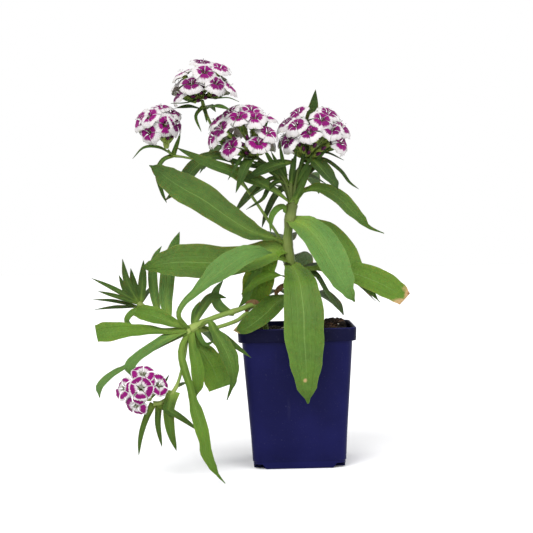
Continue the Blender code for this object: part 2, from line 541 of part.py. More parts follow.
def count_shells(bm):
    seen = set()
    sizes = []
    for face in bm.faces:
        if face.index in seen:
            continue
        stack = [face]
        seen.add(face.index)
        size = 0
        low = Vector((9, 9, 9))
        while stack:
            f = stack.pop()
            size += 1
            low = min(low, f.calc_center_median(), key=lambda v: v.x)
            for e in f.edges:
                for other in e.link_faces:
                    if other.index not in seen:
                        seen.add(other.index)
                        stack.append(other)
        sizes.append((size, [round(c * 1000) for c in low]))
    return sizes if len(sizes) > 1 else len(sizes)


def rounded_square(half, radius, height):
    ring = []
    for corner in range(4):
        centre = Vector((half - radius, half - radius))
        for step in range(4):
            turn = math.radians(90 * corner + 30.0 * step)
            base = math.radians(90 * corner)
            x = centre.x * math.cos(base) - centre.y * math.sin(base)
            y = centre.x * math.sin(base) + centre.y * math.cos(base)
            ring.append((x + radius * math.cos(turn), y + radius * math.sin(turn), height))
    return ring


def body_half(height):
    """Half width of the pot's outer wall below the collar."""
    top = RIM_WIDTH / 2 - COLLAR_OVERHANG
    return BASE_WIDTH / 2 + (top - BASE_WIDTH / 2) * height / (POT_HEIGHT - COLLAR_HEIGHT)


def loft(name, rings):
    count = len(rings[0])
    points = [p for ring in rings for p in ring]
    faces = []
    for i in range(len(rings) - 1):
        for j in range(count):
            a, b = i * count + j, i * count + (j + 1) % count
            faces.append((a, b, b + count, a + count))
    faces.append(tuple(reversed(range(count))))
    faces.append(tuple(range((len(rings) - 1) * count, len(rings) * count)))
    return mesh_object(name, points, faces)


def build_pot():
    collar_foot = POT_HEIGHT - COLLAR_HEIGHT
    rim = RIM_WIDTH / 2
    inner_rim = rim - WALL
    rings = [
        rounded_square(BASE_WIDTH / 2 - 0.8, CORNER_RADIUS, 0.0),
        rounded_square(BASE_WIDTH / 2, CORNER_RADIUS, 0.8),
        rounded_square(body_half(RIDGE_HEIGHT), CORNER_RADIUS, RIDGE_HEIGHT),
        rounded_square(body_half(RIDGE_HEIGHT) + 0.5, CORNER_RADIUS, RIDGE_HEIGHT + 0.4),
        rounded_square(body_half(collar_foot), CORNER_RADIUS + 1, collar_foot),
        rounded_square(rim - 0.4, CORNER_RADIUS + 2, collar_foot),
        rounded_square(rim, CORNER_RADIUS + 2, POT_HEIGHT - 0.5),
        rounded_square(rim - 0.5, CORNER_RADIUS + 2, POT_HEIGHT),
        rounded_square(inner_rim, CORNER_RADIUS + 1, POT_HEIGHT),
        rounded_square(inner_rim - 0.4, CORNER_RADIUS + 1, collar_foot + 1.5),
        rounded_square(body_half(collar_foot) - WALL, CORNER_RADIUS, collar_foot - 1),
        rounded_square(body_half(FLOOR) - WALL, CORNER_RADIUS - 1, FLOOR),
    ]
    pot = loft("pot", rings)
    for sx in (-1, 1):
        for sy in (-1, 1):
            cut_notch(pot, sx, sy)
    report(pot)
    return pot


def cut_notch(pot, sx, sy):
    """The drain opening at a corner of the base, with slanted ends."""
    near = BASE_WIDTH / 2 - NOTCH_WIDTH
    far = BASE_WIDTH / 2 + 6
    points = []
    for z, inset in ((-2.0, -2.0), (NOTCH_HEIGHT, 3.0)):
        low = near + inset
        corners = ((low, low), (far, low), (far, far), (low, far))
        points += [(x * sx, y * sy, z) for x, y in corners]
    faces = [(0, 1, 2, 3), (4, 5, 6, 7), (0, 1, 5, 4), (1, 2, 6, 5), (2, 3, 7, 6), (3, 0, 4, 7)]
    cutter = mesh_object("notch_cutter", points, faces)
    subtract(pot, cutter)


def subtract(body, cutter):
    cut = body.modifiers.new("cut", "BOOLEAN")
    cut.operation = "DIFFERENCE"
    cut.object = cutter
    cut.solver = "EXACT"
    bpy.context.view_layer.update()
    graph = bpy.context.evaluated_depsgraph_get()
    mesh = bpy.data.meshes.new_from_object(body.evaluated_get(graph))
    body.modifiers.clear()
    body.data = mesh
    bpy.data.objects.remove(cutter, do_unlink=True)


def soil_height(x, y):
    bumps = 1.1 * math.sin(x * 0.31 + 1.0) * math.cos(y * 0.27) + 0.8 * math.sin(x * 0.53 - y * 0.41)
    away = (x - PILE_MIDDLE[0]) ** 2 + (y - PILE_MIDDLE[1]) ** 2
    pile = PILE_HEIGHT * math.exp(-away / PILE_SPREAD)
    return SOIL_LEVEL + bumps + pile


def build_soil():
    """Fills the pot with a small gap all round; the top is uneven."""
    cells = SOIL_CELLS
    top_half = body_half(SOIL_LEVEL - 8) - WALL - SOIL_GAP
    low_half = body_half(FLOOR) - WALL - SOIL_GAP - 0.3
    corner = CORNER_RADIUS + 1
    points = []
    faces = []
    for j in range(cells + 1):
        for i in range(cells + 1):
            u, v = 2 * i / cells - 1, 2 * j / cells - 1
            x, y = u * top_half, v * top_half
            pull = (corner * 0.32) * (abs(u) ** 8) * (abs(v) ** 8)
            x -= math.copysign(pull, u)
            y -= math.copysign(pull, v)
            points.append((x, y, soil_height(x, y)))
    n = cells + 1
    for j in range(cells):
        for i in range(cells):
            a = j * n + i
            faces += [(a, a + 1, a + n + 1), (a, a + n + 1, a + n)]
    border = [(i, 0) for i in range(cells)] + [(cells, j) for j in range(cells)]
    border += [(cells - i, cells) for i in range(cells)] + [(0, cells - j) for j in range(cells)]
    top_ring = [j * n + i for i, j in border]
    scale = low_half / top_half
    low_ring = []
    for index in top_ring:
        x, y, _ = points[index]
        low_ring.append(len(points))
        points.append((x * scale, y * scale, FLOOR + SOIL_GAP))
    for k in range(len(border)):
        m = (k + 1) % len(border)
        faces.append((top_ring[k], low_ring[k], low_ring[m], top_ring[m]))
    faces.append(tuple(low_ring))
    soil = mesh_object("soil", points, faces)
    for route, radii in (MAIN_STEMS[0], TRAIL_STEMS[0]):
        x, y, z = route[0]
        wide = radii[0] + HOLE_GAP
        hole = tube("hole", [(x, y, z - SOIL_GAP), (x, y, POT_HEIGHT + 20)], [wide, wide], HOLE_SIDES)
        subtract(soil, hole)
    report(soil)
    return soil


def stems_and_leaves(name, stems, leaves):
    pieces = [tube(f"{name}_stem", route, radii, STEM_SIDES) for route, radii in stems]
    for row in leaves:
        pieces.append(leaf(f"{name}_leaf", *row))
    return fuse(name, pieces)


def dome_point(head, turn, height):
    turn, height = math.radians(turn), math.radians(height)
    way = Vector((math.cos(height) * math.cos(turn), math.cos(height) * math.sin(turn), math.sin(height)))
    size = head["size"]
    offset = Vector((way.x * size[0], way.y * size[1], way.z * size[2]))
    normal = Vector((way.x / size[0], way.y / size[1], way.z / size[2])).normalized()
    return Vector(head["middle"]) + offset, normal


def floret_axis(head, turn, height):
    """Where a floret sits and the way its face looks, between outward and up."""
    spot, normal = dome_point(head, turn, height)
    stalk = (spot - Vector(head["base"])).normalized()
    lean = Vector(UPRIGHT_LEAN if head["size"][2] > 18 else FRONT_LEAN)
    return spot, (normal + stalk * 0.4 + lean).normalized(), stalk


def floret(name, spot, face, roll):
    """Five petals as one thin flat plate."""
    across = face.cross(Vector((0.31, 0.22, 0.93))).normalized()
    other = face.cross(across)
    rim = []
    for k in range(5):
        rim += [(k + 0.14, 1.0), (k + 0.86, 1.0), (k + 1.0, PETAL_NOTCH)]
    points = []
    for side in (PETAL_THICKNESS / 2, -PETAL_THICKNESS / 2):
        for turn, reach in rim:
            angle = roll + turn * 2 * math.pi / 5
            spoke = across * math.cos(angle) + other * math.sin(angle)
            points.append(spot + spoke * (reach * FLORET_RADIUS) + face * side)
    count = len(rim)
    faces = [tuple(range(count)), tuple(range(2 * count - 1, count - 1, -1))]
    for a in range(count):
        b = (a + 1) % count
        faces.append((a, count + a, count + b, b))
    return mesh_object(name, points, faces)


def plate_tree(obj):
    return BVHTree.FromPolygons([v.co for v in obj.data.vertices], [p.vertices for p in obj.data.polygons])


def links(name, seats, petals):
    """Short straps under the petals that tie loose florets to their neighbours."""
    trees = [plate_tree(p) for p in petals]
    group = list(range(len(petals)))
    pairs = [(i, j) for i in range(len(petals)) for j in range(i)]
    for i, j in pairs:
        if trees[i].overlap(trees[j]):
            merge(group, i, j)
    pairs.sort(key=lambda p: (seats[p[0]][0] - seats[p[1]][0]).length)
    straps = []
    for i, j in pairs:
        if group[i] != group[j]:
            straps.append(strap(f"{name}_link", seats[i], seats[j]))
            merge(group, i, j)
    return straps


def merge(group, i, j):
    old, new = group[i], group[j]
    for k in range(len(group)):
        if group[k] == old:
            group[k] = new


def strap(name, one, two):
    ends = []
    for (spot, face), (goal, _) in ((one, two), (two, one)):
        way = goal - spot
        way = (way - face * way.dot(face)).normalized()
        ends.append(spot + way * (STRAP_REACH * FLORET_RADIUS))
    return tube(name, ends, [STRAP_RADIUS, STRAP_RADIUS], 4)


def calyx(name, base, spot, face, stalk):
    """The green tube under a floret with its stalk, from the stem's end."""
    tilt = face.cross((spot - base).normalized()).length
    mouth = spot - face * (FLORET_GAP + PETAL_THICKNESS / 2 + CALYX_RADIUS * tilt)
    foot = mouth - (face * 0.4 + stalk * 0.6).normalized() * CALYX_LENGTH
    if (foot - base).length < 4 or (foot - base).dot(stalk) < 0:
        foot = base + (mouth - base) * 0.3
    return tube(name, [base, foot, mouth], [STALK_RADIUS, STALK_RADIUS + 0.5, CALYX_RADIUS], CALYX_SIDES)


def build_head(name, head):
    base = Vector(head["base"])
    greens = [tube(f"{name}_knob", [base, base + Vector((0, 0, 5))], [1.9, 3.2], 6)]
    petals = []
    seats = []
    for turn, height in head["florets"]:
        spot, face, stalk = floret_axis(head, turn, height)
        greens.append(calyx(f"{name}_calyx", base + Vector((0, 0, 3)), spot, face, stalk))
        petals.append(floret(f"{name}_floret", spot, face, random.uniform(0, 1.25)))
        seats.append((spot, face))
    for row in HEAD_LEAVES[name]:
        greens.append(leaf(f"{name}_bract", *row))
    petals += links(name, seats, petals)
    return fuse(f"{name}_calyxes", greens), fuse(f"{name}_florets", petals)


def paint(obj, look, name):
    colour, roughness = COLOURS[look]
    obj.data.materials.clear()
    obj.data.materials.append(material(name, colour, roughness))
    for face in obj.data.polygons:
        face.use_smooth = False
        face.material_index = 0


def build():
    clear_scene()
    paint(build_pot(), "pot", "pot plastic")
    paint(build_soil(), "soil", "potting soil")
    paint(stems_and_leaves("main_stem", MAIN_STEMS, MAIN_LEAVES), "leaf", "main leaves")
    paint(stems_and_leaves("side_stem", SIDE_STEMS, SIDE_LEAVES), "side", "side leaves")
    paint(stems_and_leaves("trailing_stem", TRAIL_STEMS, TRAIL_LEAVES), "trail", "trailing leaves")
    paint(stems_and_leaves("tuft_stem", [TUFT_STEM], TUFT_LEAVES), "tuft", "tuft leaves")
    for name, head in HEADS.items():
        green, petals = build_head(name, head)
        paint(green, "calyx", name + " calyx green")
        paint(petals, "petal", name + " petals")


build()
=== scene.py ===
import math
import random

import bmesh
import bpy
from mathutils import Matrix, Vector, noise


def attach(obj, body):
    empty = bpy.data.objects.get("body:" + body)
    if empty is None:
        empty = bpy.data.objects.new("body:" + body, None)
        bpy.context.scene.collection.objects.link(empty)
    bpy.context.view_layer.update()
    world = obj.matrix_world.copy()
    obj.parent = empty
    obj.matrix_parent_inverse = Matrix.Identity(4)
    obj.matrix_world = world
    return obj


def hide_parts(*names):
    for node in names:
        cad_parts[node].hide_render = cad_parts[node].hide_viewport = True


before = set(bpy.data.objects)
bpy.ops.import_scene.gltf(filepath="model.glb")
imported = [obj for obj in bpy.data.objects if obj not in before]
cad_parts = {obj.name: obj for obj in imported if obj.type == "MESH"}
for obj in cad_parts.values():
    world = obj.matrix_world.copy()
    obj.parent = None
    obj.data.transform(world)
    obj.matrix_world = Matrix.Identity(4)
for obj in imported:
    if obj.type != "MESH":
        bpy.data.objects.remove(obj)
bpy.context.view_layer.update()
mm = 0.001

camera = dict(
    place=(-26.4, -1200.0, 216.0),   # mm, solved from the pot's rim and base
    pitchDown=1.51,                  # degrees
    roll=-1.3,
    lens=86.0,                       # mm on a 36 mm sensor
)


def makeCamera():
    data = bpy.data.cameras.new("photoCamera")
    data.sensor_width = 36.0
    data.lens = camera["lens"]
    data.clip_start = 0.01
    data.clip_end = 50.0
    obj = bpy.data.objects.new("photoCamera", data)
    bpy.context.scene.collection.objects.link(obj)
    place = Matrix.Translation(Vector(camera["place"]) * mm)
    pitch = Matrix.Rotation(math.radians(90.0 - camera["pitchDown"]), 4, "X")
    roll = Matrix.Rotation(math.radians(camera["roll"]), 4, "Z")
    obj.matrix_world = place @ pitch @ roll
    bpy.context.scene.camera = obj


makeCamera()


# One socket of a material, so that shader maths reads as plain expressions
class Wire:
    def __init__(self, tree, socket=None):
        self.tree = tree
        self.socket = socket

    # any node: its settings are set first, then its sockets get values or links
    def node(self, kind, settings=None, sockets=None, output=0):
        made = self.tree.nodes.new("ShaderNode" + kind)
        for name, value in (settings or {}).items():
            if name == "stops":
                self.setStops(made.color_ramp, value)
            else:
                setattr(made, name, value)
        for name, value in (sockets or {}).items():
            if isinstance(value, Wire):
                self.tree.links.new(value.socket, made.inputs[name])
            else:
                made.inputs[name].default_value = value
        return Wire(self.tree, made.outputs[output])

    def setStops(self, ramp, stops):
        while len(ramp.elements) < len(stops):
            ramp.elements.new(1.0)
        for element, (place, colour) in zip(ramp.elements, stops):
            element.position = place
            element.color = (*colour, 1.0)

    def math(self, operation, *terms):
        return self.node("Math", dict(operation=operation), dict(enumerate(terms)))

    def __add__(self, other):
        return self.math("ADD", self, other)

    __radd__ = __add__

    def __sub__(self, other):
        return self.math("SUBTRACT", self, other)

    def __rsub__(self, other):
        return self.math("SUBTRACT", other, self)

    def __mul__(self, other):
        return self.math("MULTIPLY", self, other)

    __rmul__ = __mul__

    def __pow__(self, other):
        return self.math("POWER", self, other)

    def size(self):
        return self.math("ABSOLUTE", self)

    def wave(self):
        return self.math("SINE", self)

    # 0 at low and 1 at high, soft at both ends
    def ramp(self, low, high):
        settings = dict(interpolation_type="SMOOTHSTEP")
        if low <= high:
            return self.node("MapRange", settings, {0: self, 1: low, 2: high, 3: 0.0, 4: 1.0})
        return self.node("MapRange", settings, {0: self, 1: high, 2: low, 3: 1.0, 4: 0.0})

    def bell(self, middle, width):
        return (self - middle).size().ramp(width, 0.0)

    # colour: self where the mask is 0, other where it is 1
    def blend(self, other, mask):
        settings = dict(data_type="RGBA")
        other = other if isinstance(other, Wire) else (*other, 1.0)
        return self.node("Mix", settings, {0: mask, 6: self, 7: other}, 2)

    def tint(self, factor):
        return self.node("VectorMath", dict(operation="SCALE"), {0: self, "Scale": factor})

    def parts(self):
        return [self.node("SeparateXYZ", None, {0: self}, k) for k in range(3)]

    def grain(self, scale, detail=2.0, roughness=0.55):
        sockets = {"Vector": self, "Scale": scale, "Detail": detail, "Roughness": roughness}
        return self.node("TexNoise", None, sockets)

    def attribute(self, name):
        return self.node("Attribute", dict(attribute_name=name), None, 1)

    def place(self):
        return self.node("TexCoord", None, None, 3)

    def paint(self, colour):
        return self.node("RGB").fill(colour)

    def fill(self, colour):
        self.socket.default_value = (*colour, 1.0)
        return self

    def vector(self, x, y, z):
        return self.node("CombineXYZ", None, {0: x, 1: y, 2: z})


# A material with one Principled shader; fixed holds sockets that are the same all over
def newMaterial(name, build, fixed):
    mat = bpy.data.materials.new(name)
    mat.use_nodes = True
    shader = mat.node_tree.nodes["Principled BSDF"]
    for key, value in fixed.items():
        shader.inputs[key].default_value = value
    start = Wire(mat.node_tree)
    for key, value in build(start).items():
        if key == "Bump":
            height, distance = value
            value = start.node("Bump", None, {"Strength": 1.0, "Distance": distance, "Height": height})
            key = "Normal"
        mat.node_tree.links.new(value.socket, shader.inputs[key])
    return mat


# Meshes: every vertex carries plan, its place on the blade, stem or petal, and mood, how it looks
def startMesh():
    bm = bmesh.new()
    plan = bm.verts.layers.float_vector.new("plan")
    mood = bm.verts.layers.float_vector.new("mood")
    return bm, plan, mood


def addPoint(shape, place, planValue, moodValue):
    bm, plan, mood = shape
    vert = bm.verts.new(place * mm)
    vert[plan] = Vector(planValue)
    vert[mood] = Vector(moodValue)
    return vert


def addFace(shape, verts):
    shape[0].faces.new(verts).smooth = True


# Joins rings of points into a skin and closes both ends
def skinRings(shape, rings):
    count = len(rings[0])
    for low, high in zip(rings, rings[1:]):
        for k in range(count):
            j = (k + 1) % count
            addFace(shape, (low[k], low[j], high[j], high[k]))
    addFace(shape, tuple(reversed(rings[0])))
    addFace(shape, tuple(rings[-1]))


def endMesh(shape, name, material, node, sharpAngle=50.0):
    bm = shape[0]
    bmesh.ops.recalc_face_normals(bm, faces=bm.faces)
    limit = math.radians(sharpAngle)
    for edge in bm.edges:
        edge.smooth = len(edge.link_faces) == 2 and edge.calc_face_angle(0.0) < limit
    mesh = bpy.data.meshes.new(name)
    bm.to_mesh(mesh)
    bm.free()
    mesh.materials.append(material)
    obj = bpy.data.objects.new(name, mesh)
    bpy.context.scene.collection.objects.link(obj)
    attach(obj, "root")
    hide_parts(node)
    print(name, "faces", len(mesh.polygons))
    return obj


def smoothRoute(points, steps):
    pts = [Vector(p) for p in points]
    pts = [pts[0] * 2 - pts[1]] + pts + [pts[-1] * 2 - pts[-2]]
    spans = len(pts) - 3
    route = []
    for i in range(steps + 1):
        reach = i / steps * spans
        k = min(int(reach), spans - 1)
        t = reach - k
        a, b, c, d = pts[k:k + 4]
        curve = (3 * b - a - 3 * c + d) * t * t * t + (2 * a - 5 * b + 4 * c - d) * t * t
        route.append(0.5 * (2 * b + (c - a) * t + curve))
    return route


# Two directions square to a way, from a hint that is never along it
def crossAxes(way, hint):
    across = way.cross(Vector(hint)).normalized()
    return across, way.cross(across)


def around(across, other, turn):
    return across * math.cos(turn) + other * math.sin(turn)


stalkHint = (0.3, 1, 0.2)
flowerHint = (0.31, 0.22, 0.93)


def headings(route):
    last = len(route) - 1
    return [(route[min(i + 1, last)] - route[max(i - 1, 0)]).normalized() for i in range(last + 1)]


# Pot: one moulded square nursery pot, 108 mm across the rim
pot = dict(
    rimWidth=108.0, height=129.0, collarHeight=12.2, collarOverhang=3.5, baseWidth=83.8,
    wall=1.5, floor=1.8, cornerRadius=7.0, ridgeHeight=7.0, notchWidth=11.0, notchHeight=4.6,
    cornerSteps=10,
    blue=(0.0030, 0.0034, 0.034), sheenBlue=(0.0070, 0.0075, 0.062), dust=(0.05, 0.05, 0.09),
    collarShade=0.62,
)


def potBlue(start):
    place = start.place()
    x, y, z = place.parts()
    cloudy = place.grain(18.0, 4.0)
    streaks = start.vector(x * 60.0, y * 60.0, z * 9.0).grain(3.0, 3.0)
    specks = place.grain(900.0, 1.0).ramp(0.70, 0.76)
    # painted highlight: the rounded corners of the pot are lighter
    corner = (x.size() + y.size()).ramp(0.080, 0.104)
    rimTopHighlight = z.ramp(0.1268, 0.1288)
    # painted sheen: the body is patchily lighter where the pale sheen blue is mixed in
    colour = start.paint(pot["blue"]).blend(pot["sheenBlue"], cloudy.ramp(0.35, 0.75) * 0.55 + corner * 0.25)
    # painted highlight: the top of the rim is lighter
    colour = colour.blend(pot["sheenBlue"], rimTopHighlight * 0.6)
    # painted shade: the collar band is darker than the body
    colour = colour.tint(1.0 - z.ramp(0.1160, 0.1172) * z.ramp(0.1292, 0.1278) * pot["collarShade"])
    colour = colour.blend(pot["dust"], specks * 0.35 + streaks.ramp(0.62, 0.80) * 0.06)
    rough = cloudy * 0.18 + streaks * 0.10 + 0.26
    relief = streaks * 0.5 + place.grain(420.0, 2.0) * 0.5
    return {"Base Color": colour, "Roughness": rough, "Bump": (relief, 0.00012)}


def roundedSquare(half, radius, height):
    ring = []
    steps = pot["cornerSteps"]
    for corner in range(4):
        base = math.radians(90 * corner)
        x = (half - radius) * (math.cos(base) - math.sin(base))
        y = (half - radius) * (math.sin(base) + math.cos(base))
        for step in range(steps + 1):
            turn = base + math.radians(90.0 * step / steps)
            ring.append(Vector((x + radius * math.cos(turn), y + radius * math.sin(turn), height)))
    return ring


def bodyHalf(height):
    top = pot["rimWidth"] / 2 - pot["collarOverhang"]
    base = pot["baseWidth"] / 2
    return base + (top - base) * height / (pot["height"] - pot["collarHeight"])


def makePot():
    collarFoot = pot["height"] - pot["collarHeight"]
    rim = pot["rimWidth"] / 2
    top, radius, ridge = pot["height"], pot["cornerRadius"], pot["ridgeHeight"]
    inner = rim - pot["wall"]
    underCollar = bodyHalf(collarFoot)
    profile = [                                     # half width, corner radius, height
        (bodyHalf(0) - 1.0, radius, 0.0), (bodyHalf(0) - 0.3, radius, 0.25), (bodyHalf(1), radius, 1.0),
        (bodyHalf(ridge) - 0.15, radius, ridge - 0.3), (bodyHalf(ridge) + 0.15, radius, ridge),
        (bodyHalf(ridge) + 0.5, radius, ridge + 0.4), (bodyHalf(30), radius + 0.3, 30),
        (bodyHalf(60), radius + 0.5, 60), (bodyHalf(90), radius + 0.8, 90),
        (underCollar - 0.2, radius + 1, collarFoot - 0.8), (underCollar + 0.3, radius + 1, collarFoot),
        (rim - 1.2, radius + 1.8, collarFoot), (rim - 0.55, radius + 2, collarFoot + 0.35),
        (rim - 0.4, radius + 2, collarFoot + 1.0), (rim, radius + 2, top - 1.0),
        (rim - 0.15, radius + 2, top - 0.4), (rim - 0.6, radius + 1.8, top),
        (inner + 0.3, radius + 1.3, top), (inner, radius + 1, top - 0.4),
        (inner - 0.4, radius + 1, collarFoot + 1.5), (underCollar - pot["wall"], radius, collarFoot - 1),
        (bodyHalf(pot["floor"]) - pot["wall"], radius - 1, pot["floor"]),
    ]
    shape = startMesh()
    rings = []
    for half, corner, height in profile:
        ring = roundedSquare(half, corner, height)
        rings.append([addPoint(shape, p, (0, 0, 0), (0, 0, 0)) for p in ring])
    skinRings(shape, rings)
    material = newMaterial("pot blue plastic", potBlue, {"Specular IOR Level": 0.07})
    body = endMesh(shape, "bluePot", material, "pot", 42.0)
    for sideX in (-1, 1):
        for sideY in (-1, 1):
            cutNotch(body, sideX, sideY)


# The drain opening at a corner of the base, with slanted ends
def cutNotch(body, sideX, sideY):
    near = pot["baseWidth"] / 2 - pot["notchWidth"]
    far = pot["baseWidth"] / 2 + 6
    bm = bmesh.new()
    layers = []
    for z, inset in ((-2.0, -2.0), (pot["notchHeight"], 3.0)):
        low = near + inset
        corners = ((low, low), (far, low), (far, far), (low, far))
        layers.append([bm.verts.new(Vector((x * sideX, y * sideY, z)) * mm) for x, y in corners])
    for k in range(4):
        j = (k + 1) % 4
        bm.faces.new((layers[0][k], layers[0][j], layers[1][j], layers[1][k]))
    bm.faces.new(layers[0])
    bm.faces.new(layers[1])
    bmesh.ops.recalc_face_normals(bm, faces=bm.faces)
    mesh = bpy.data.meshes.new("notchCutter")
    bm.to_mesh(mesh)
    bm.free()
    cutter = bpy.data.objects.new("notchCutter", mesh)
    bpy.context.scene.collection.objects.link(cutter)
    cut = body.modifiers.new("notch", "BOOLEAN")
    cut.operation = "DIFFERENCE"
    cut.solver = "EXACT"
    cut.object = cutter
    bpy.context.view_layer.objects.active = body
    bpy.ops.object.modifier_apply(modifier=cut.name)
    bpy.data.objects.remove(cutter, do_unlink=True)


makePot()

# Soil: crumbly potting mix, piled up in the right back corner
soil = dict(
    level=123.0, foot=60.0, cells=70, gap=0.4, lumps=420,
    pilePlace=(40, 38), pileHeight=7.0, pileSpread=260.0,
    dark=(0.012, 0.008, 0.006), brown=(0.060, 0.034, 0.019), bark=(0.11, 0.055, 0.028),
    pale=(0.55, 0.52, 0.46),
)


def soilSkin(start):
    place = start.place()
    fine = place.grain(380.0, 6.0, 0.7)
    broad = place.grain(60.0, 3.0)
    tone = start.attribute("mood").parts()[0]       # 0 peat, 0.5 bark, 1 grit
    colour = start.paint(soil["dark"]).blend(soil["brown"], fine.ramp(0.42, 0.72) * broad.ramp(0.3, 0.7))
    colour = colour.blend(soil["bark"], tone.bell(0.5, 0.3) * (fine * 0.8 + 0.2))
    colour = colour.blend(soil["pale"], tone.ramp(0.8, 0.95) * (0.6 + fine * 0.4))
    return {"Base Color": colour, "Roughness": 0.85 + fine * 0.15, "Bump": (fine + broad, 0.0012)}


def soilHeight(x, y):
    bumps = 1.1 * math.sin(x * 0.31 + 1.0) * math.cos(y * 0.27) + 0.8 * math.sin(x * 0.53 - y * 0.41)
    pileX, pileY = soil["pilePlace"]
    away = (x - pileX) ** 2 + (y - pileY) ** 2
    pile = soil["pileHeight"] * math.exp(-away / soil["pileSpread"])
    return soil["level"] + bumps + pile


def addLump(shape, middle, sizes, turn, tone):
    made = bmesh.ops.create_icosphere(shape[0], subdivisions=2, radius=1.0)["verts"]
    spin = Matrix.Rotation(turn[0], 3, "X") @ Matrix.Rotation(turn[1], 3, "Z")
    for vert in made:
        rough = 1.0 + 0.45 * noise.noise(vert.co * 1.7 + Vector(middle))
        spot = Vector([c * s for c, s in zip(vert.co * rough, sizes)])
        vert.co = (Vector(middle) + spin @ spot) * mm
        vert[shape[1]] = Vector((0, 0, 0))
        vert[shape[2]] = Vector((tone, 0, 0))
        for face in vert.link_faces:
            face.smooth = True


def makeSoil():
    shape = startMesh()
    cells = soil["cells"]
    half = bodyHalf(soil["level"] - 8) - pot["wall"] - soil["gap"]
    grid = []
    for j in range(cells + 1):
        row = []
        for i in range(cells + 1):
            u, v = 2 * i / cells - 1, 2 * j / cells - 1
            pull = (pot["cornerRadius"] + 1) * 0.32 * abs(u) ** 8 * abs(v) ** 8
            x = u * half - math.copysign(pull, u)
            y = v * half - math.copysign(pull, v)
            crumbs = noise.fractal(Vector((x, y, 3.0)) * 0.22, 0.8, 2.1, 4) * 1.3
            crumbs += abs(noise.noise(Vector((x, y, 9.0)) * 0.9)) * 1.2
            row.append(addPoint(shape, Vector((x, y, soilHeight(x, y) + crumbs)), (u, v, 0), (0, 0, 0)))
        grid.append(row)
    for j in range(cells):
        for i in range(cells):
            addFace(shape, (grid[j][i], grid[j][i + 1], grid[j + 1][i + 1], grid[j + 1][i]))
    border = grid[0][:-1] + [row[-1] for row in grid[:-1]] + grid[-1][:0:-1] + [row[0] for row in grid[:0:-1]]
    lower = []
    for vert in border:
        spot = vert.co / mm
        below = Vector((spot.x * 0.94, spot.y * 0.94, soil["foot"]))
        lower.append(addPoint(shape, below, (0, 0, 0), (0, 0, 0)))
    for k in range(len(border)):
        j = (k + 1) % len(border)
        addFace(shape, (border[k], lower[k], lower[j], border[j]))
    addFace(shape, tuple(lower))
    pick = random.Random(5)
    for k in range(soil["lumps"]):
        piled = k % 3 == 0
        x = pick.uniform(24, half - 3) if piled else pick.uniform(-half + 3, half - 3)
        y = pick.uniform(18, half - 3) if piled else pick.uniform(-half + 3, half - 3)
        kind = k % 14
        tone = 1.0 if kind == 0 else 0.5 if kind < 6 else 0.0
        size = pick.uniform(0.7, 1.5) if tone == 1.0 else pick.uniform(0.8, 2.4)
        flat = 0.45 if tone == 0.5 else 0.8
        sizes = (size * pick.uniform(0.8, 1.7), size, size * flat)
        turn = (pick.uniform(-0.7, 0.7), pick.uniform(0, math.pi))
        addLump(shape, (x, y, soilHeight(x, y) + size * 0.5), sizes, turn, tone)
    material = newMaterial("potting mix", soilSkin, {"Specular IOR Level": 0.25})
    endMesh(shape, "pottingMix", material, "soil", 70.0)


makeSoil()

# Looks that a leaf can have: tone 0 dark to 1 light, partly the leaf's own green and partly painted shade on
# leaves in shadow and painted light on leaves in the open; warmth 0 bluish to 1 yellow, and how dry its tip
# is
leafLooks = dict(
    dark=(0.14, 0.40, 0.0), mid=(0.34, 0.45, 0.0), fresh=(0.50, 0.60, 0.0), cool=(0.82, 0.12, 0.0),
    light=(0.80, 0.70, 0.0), pale=(1.05, 0.45, 0.0), lime=(1.10, 0.95, 0.0),
    scorched=(0.80, 0.85, 1.0), deadEdge=(0.34, 0.70, 0.6), withered=(0.80, 0.90, 2.0),
)

leafForm = dict(
    foldLift=0.22, ripple=0.045, ragged=0.035, thick=0.55, thinEdge=0.10, grooveDepth=0.35, ribDepth=0.45,
    broadWidth=12.0, narrowWidth=3,
    broadMesh=(30, 14), narrowMesh=(18, 8), thinMesh=(10, 4),          # steps along, cells across
)

leafPaint = dict(
    cool=(0.067, 0.142, 0.028), warm=(0.063, 0.128, 0.008), base=(0.155, 0.245, 0.036),
    midrib=(0.120, 0.200, 0.045), under=(0.090, 0.160, 0.040), dry=(0.36, 0.24, 0.11),
    burnt=(0.08, 0.03, 0.010),
    tanSpotPlace=(5.5, -66.5, 84.0), tanSpotRadius=2.6,                # mm, on the big front leaf
)


